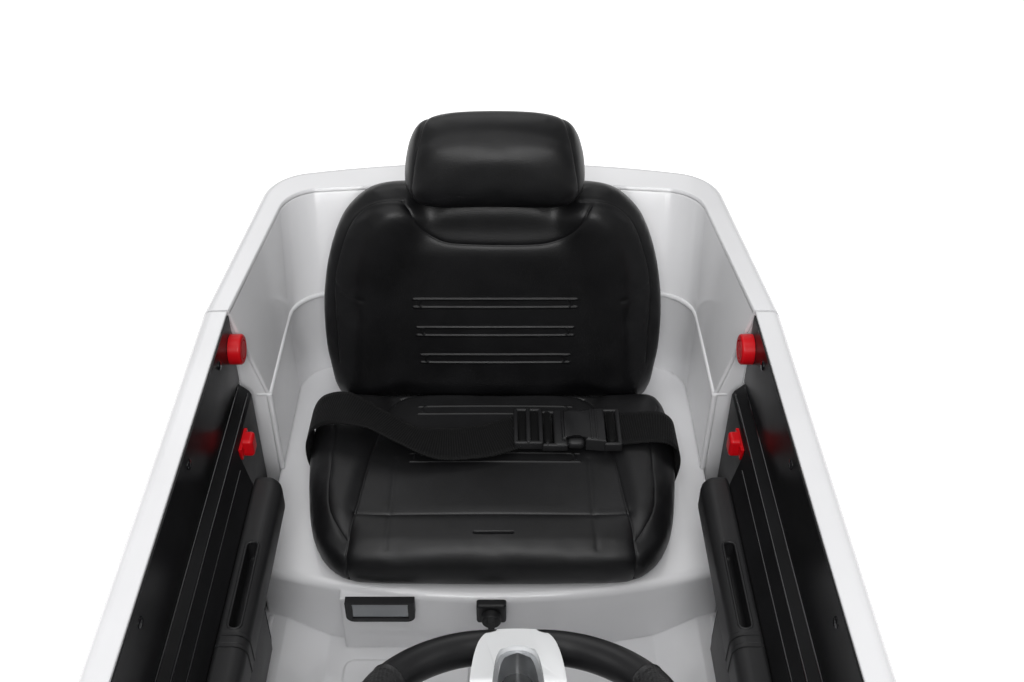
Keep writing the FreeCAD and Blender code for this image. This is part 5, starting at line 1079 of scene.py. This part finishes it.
def laid_on(tree, starts, way, out):
    """The points that rays from starts meet on a surface, moved out of it."""
    hits = [tree.ray_cast(Vector(start), way) for start in starts]
    return [hit[0] + hit[1] * out for hit in hits]


def make_lamps():
    front, rear = (surface(NODES[node].data) for node in ("headlights", "taillights"))
    domes, bezels = bmesh.new(), bmesh.new()
    bars, ribs = [], []
    for sign in (1, -1):
        for x in LENSES_X:
            spot, normal = front.ray_cast(Vector((sign * x, -1, LENSES_Z)), ASTERN)[:2]
            add_lathe(domes, spot, normal, LENS)
            add_lathe(bezels, spot, normal, BEZEL)
        starts = [(sign * x, -1, BAR_Z) for x in np.linspace(*BAR_X, BAR_POINTS)]
        bars.append((laid_on(front, starts, ASTERN, BAR_OUT), BAR_R, 12))
        for z in RIBS_Z:
            starts = [(sign * x, 1, z) for x in np.linspace(*RIB_X, RIB_POINTS)]
            ribs.append((laid_on(rear, starts, AHEAD, RIB_OUT), RIB_R, 12))
    piece("headlight_lenses", domes, "lamp_clear", "chassis")
    piece("headlight_bezels", bezels, "steel", "chassis")
    bar_piece("headlight_bars", "bright_trim", "chassis", *bars)
    bar_piece("taillight_ribs", "lamp_red", "chassis", *ribs)


make_lamps()


# Bonnet: the seam round its lid and two raised creases
BONNET_SEAM = ((0.205, -0.272), (0.205, -0.400), (0.201, -0.475), (0.186, -0.516),
               (0.150, -0.533), (0.080, -0.540), (0, -0.542))
BONNET_CREASE = ((0.118, -0.284), (0.112, -0.350), (0.098, -0.440), (0.082, -0.524))
SEAM_SUNK, SEAM_R = 0.0004, 0.0010
CREASE_SUNK, CREASE_THIN, CREASE_SWELL = 0.0040, 0.0030, 0.0032


def make_bonnet():
    shell = surface(NODES["front_shell"].data)

    def on_bonnet(points, sunk):
        starts = [(x, y, 1) for x, y in spline(points, 0.006)]
        return laid_on(shell, starts, DOWN, -sunk)

    seam = on_bonnet(across_middle(BONNET_SEAM), SEAM_SUNK)
    bar_piece("bonnet_seam", "black_matte", "chassis", (seam, SEAM_R, 10))
    creases = []
    for sign in (1, -1):
        line = on_bonnet([(sign * x, y) for x, y in BONNET_CREASE], CREASE_SUNK)
        swell = np.sin(np.linspace(0, math.pi, len(line))) ** 0.5
        creases.append((line, CREASE_THIN + CREASE_SWELL * swell, 20))
    bar_piece("bonnet_creases", "white_gloss", "chassis", *creases)


make_bonnet()


# Lips moulded along the tub's edges beside and behind the seat
LIP_R, LIP_SIDES = 0.0030, 16
LEDGE = ((0.2210, 0.2860), (0.2210, 0.3500), (0.2210, 0.4100), (0.2170, 0.4275), (0.2080, 0.4405),
         (0.1955, 0.4490), (0.1780, 0.4532), (0.0900, 0.4620), (0.0300, 0.4673), (0, 0.4679))
LEDGE_Z = 0.3095
PILLAR_X, PILLAR_Y, PILLAR_Z = 0.2212, 0.2862, (LEDGE_Z + 0.0005, 0.206)
STEP_X, STEP_Y = (PILLAR_X, 0.2335), 0.2873
SILL_X, SILL_Y, SILL_Z = 0.2185, (0.146, -0.140), 0.1387


def make_lips():
    lips = [[(x, y, LEDGE_Z) for x, y in spline(across_middle(LEDGE), 0.006)]]
    for sign in (1, -1):
        lips += [[(sign * PILLAR_X, PILLAR_Y, z) for z in np.linspace(*PILLAR_Z, 12)],
                 [(sign * x, STEP_Y, LEDGE_Z) for x in np.linspace(*STEP_X, 5)],
                 [(sign * SILL_X, y, SILL_Z) for y in np.linspace(*SILL_Y, 12)]]
    bar_piece("tub_lips", "white_gloss", "chassis", *((lip, LIP_R, LIP_SIDES) for lip in lips))


make_lips()


# Floor, light and camera
FLOOR_HALF, FLOOR_GLOW, WORLD_GLOW = 60.0, 0.62, 0.34
LIGHTS = (  # place, aim, size and power
    ("key", (-0.3, -0.4, 2.7), (0, 0.1, 0.2), 2.2, 21.0),
    ("low", (0.0, -1.4, 1.6), (0.0, 0.15, 0.15), 0.9, 19.0),
    ("back", (-0.2, 2.2, 2.2), (0, 0.2, 0.4), 1.8, 9.0),
    ("left", (-2.4, 0.2, 1.8), (0, 0.1, 0.3), 1.4, 5.0),
    ("right", (2.4, 0.2, 1.8), (0, 0.1, 0.3), 1.4, 3.0))
SENSOR, PHOTO_WIDE = 36.0, 1024.0  # sensor in mm, the photo's width in pixels
FOCAL_PIXELS, SHIFT_PIXELS = 1100.0, 11.0
EYE_AT, EYE_TILT = (0.009, -0.530, 1.038), math.radians(51.0)


def studio():
    mesh = bpy.data.meshes.new("floor")
    h = FLOOR_HALF
    mesh.from_pydata([(-h, -h, 0), (h, -h, 0), (h, h, 0), (-h, h, 0)], [], [(0, 1, 2, 3)])
    floor = linked("floor", mesh)
    mat, tree, bsdf, coords = shader("pale_floor")
    paint(tree, bsdf, noise(tree, coords, 2.0), (0.86, 0.86, 0.86), (0.90, 0.90, 0.90))
    put(bsdf, {"Roughness": 0.9, "Emission Color": (1, 1, 1, 1), "Emission Strength": FLOOR_GLOW})
    mesh.materials.append(mat)

    world = bpy.data.worlds.new("studio")
    SCENE.world = world
    world.use_nodes = True
    put(world.node_tree.nodes["Background"], {"Color": (1, 1, 1, 1), "Strength": WORLD_GLOW})

    for name, place, aim, size, power in LIGHTS:
        light = bpy.data.lights.new(name, "AREA")
        light.shape = "SQUARE"
        light.size = size
        light.energy = power
        lamp = linked(name, light)
        lamp.location = place
        direction = Vector(aim) - Vector(place)
        lamp.rotation_euler = direction.to_track_quat("-Z", "Y").to_euler()

    camera = bpy.data.cameras.new("camera")
    camera.sensor_width = SENSOR
    camera.lens = SENSOR * FOCAL_PIXELS / PHOTO_WIDE
    camera.shift_x = SHIFT_PIXELS / PHOTO_WIDE
    camera.clip_start = 0.02
    eye = linked("camera", camera)
    eye.location = EYE_AT
    eye.rotation_euler = (EYE_TILT, 0, 0)
    SCENE.camera = eye
    SCENE.view_settings.view_transform = "Standard"


studio()
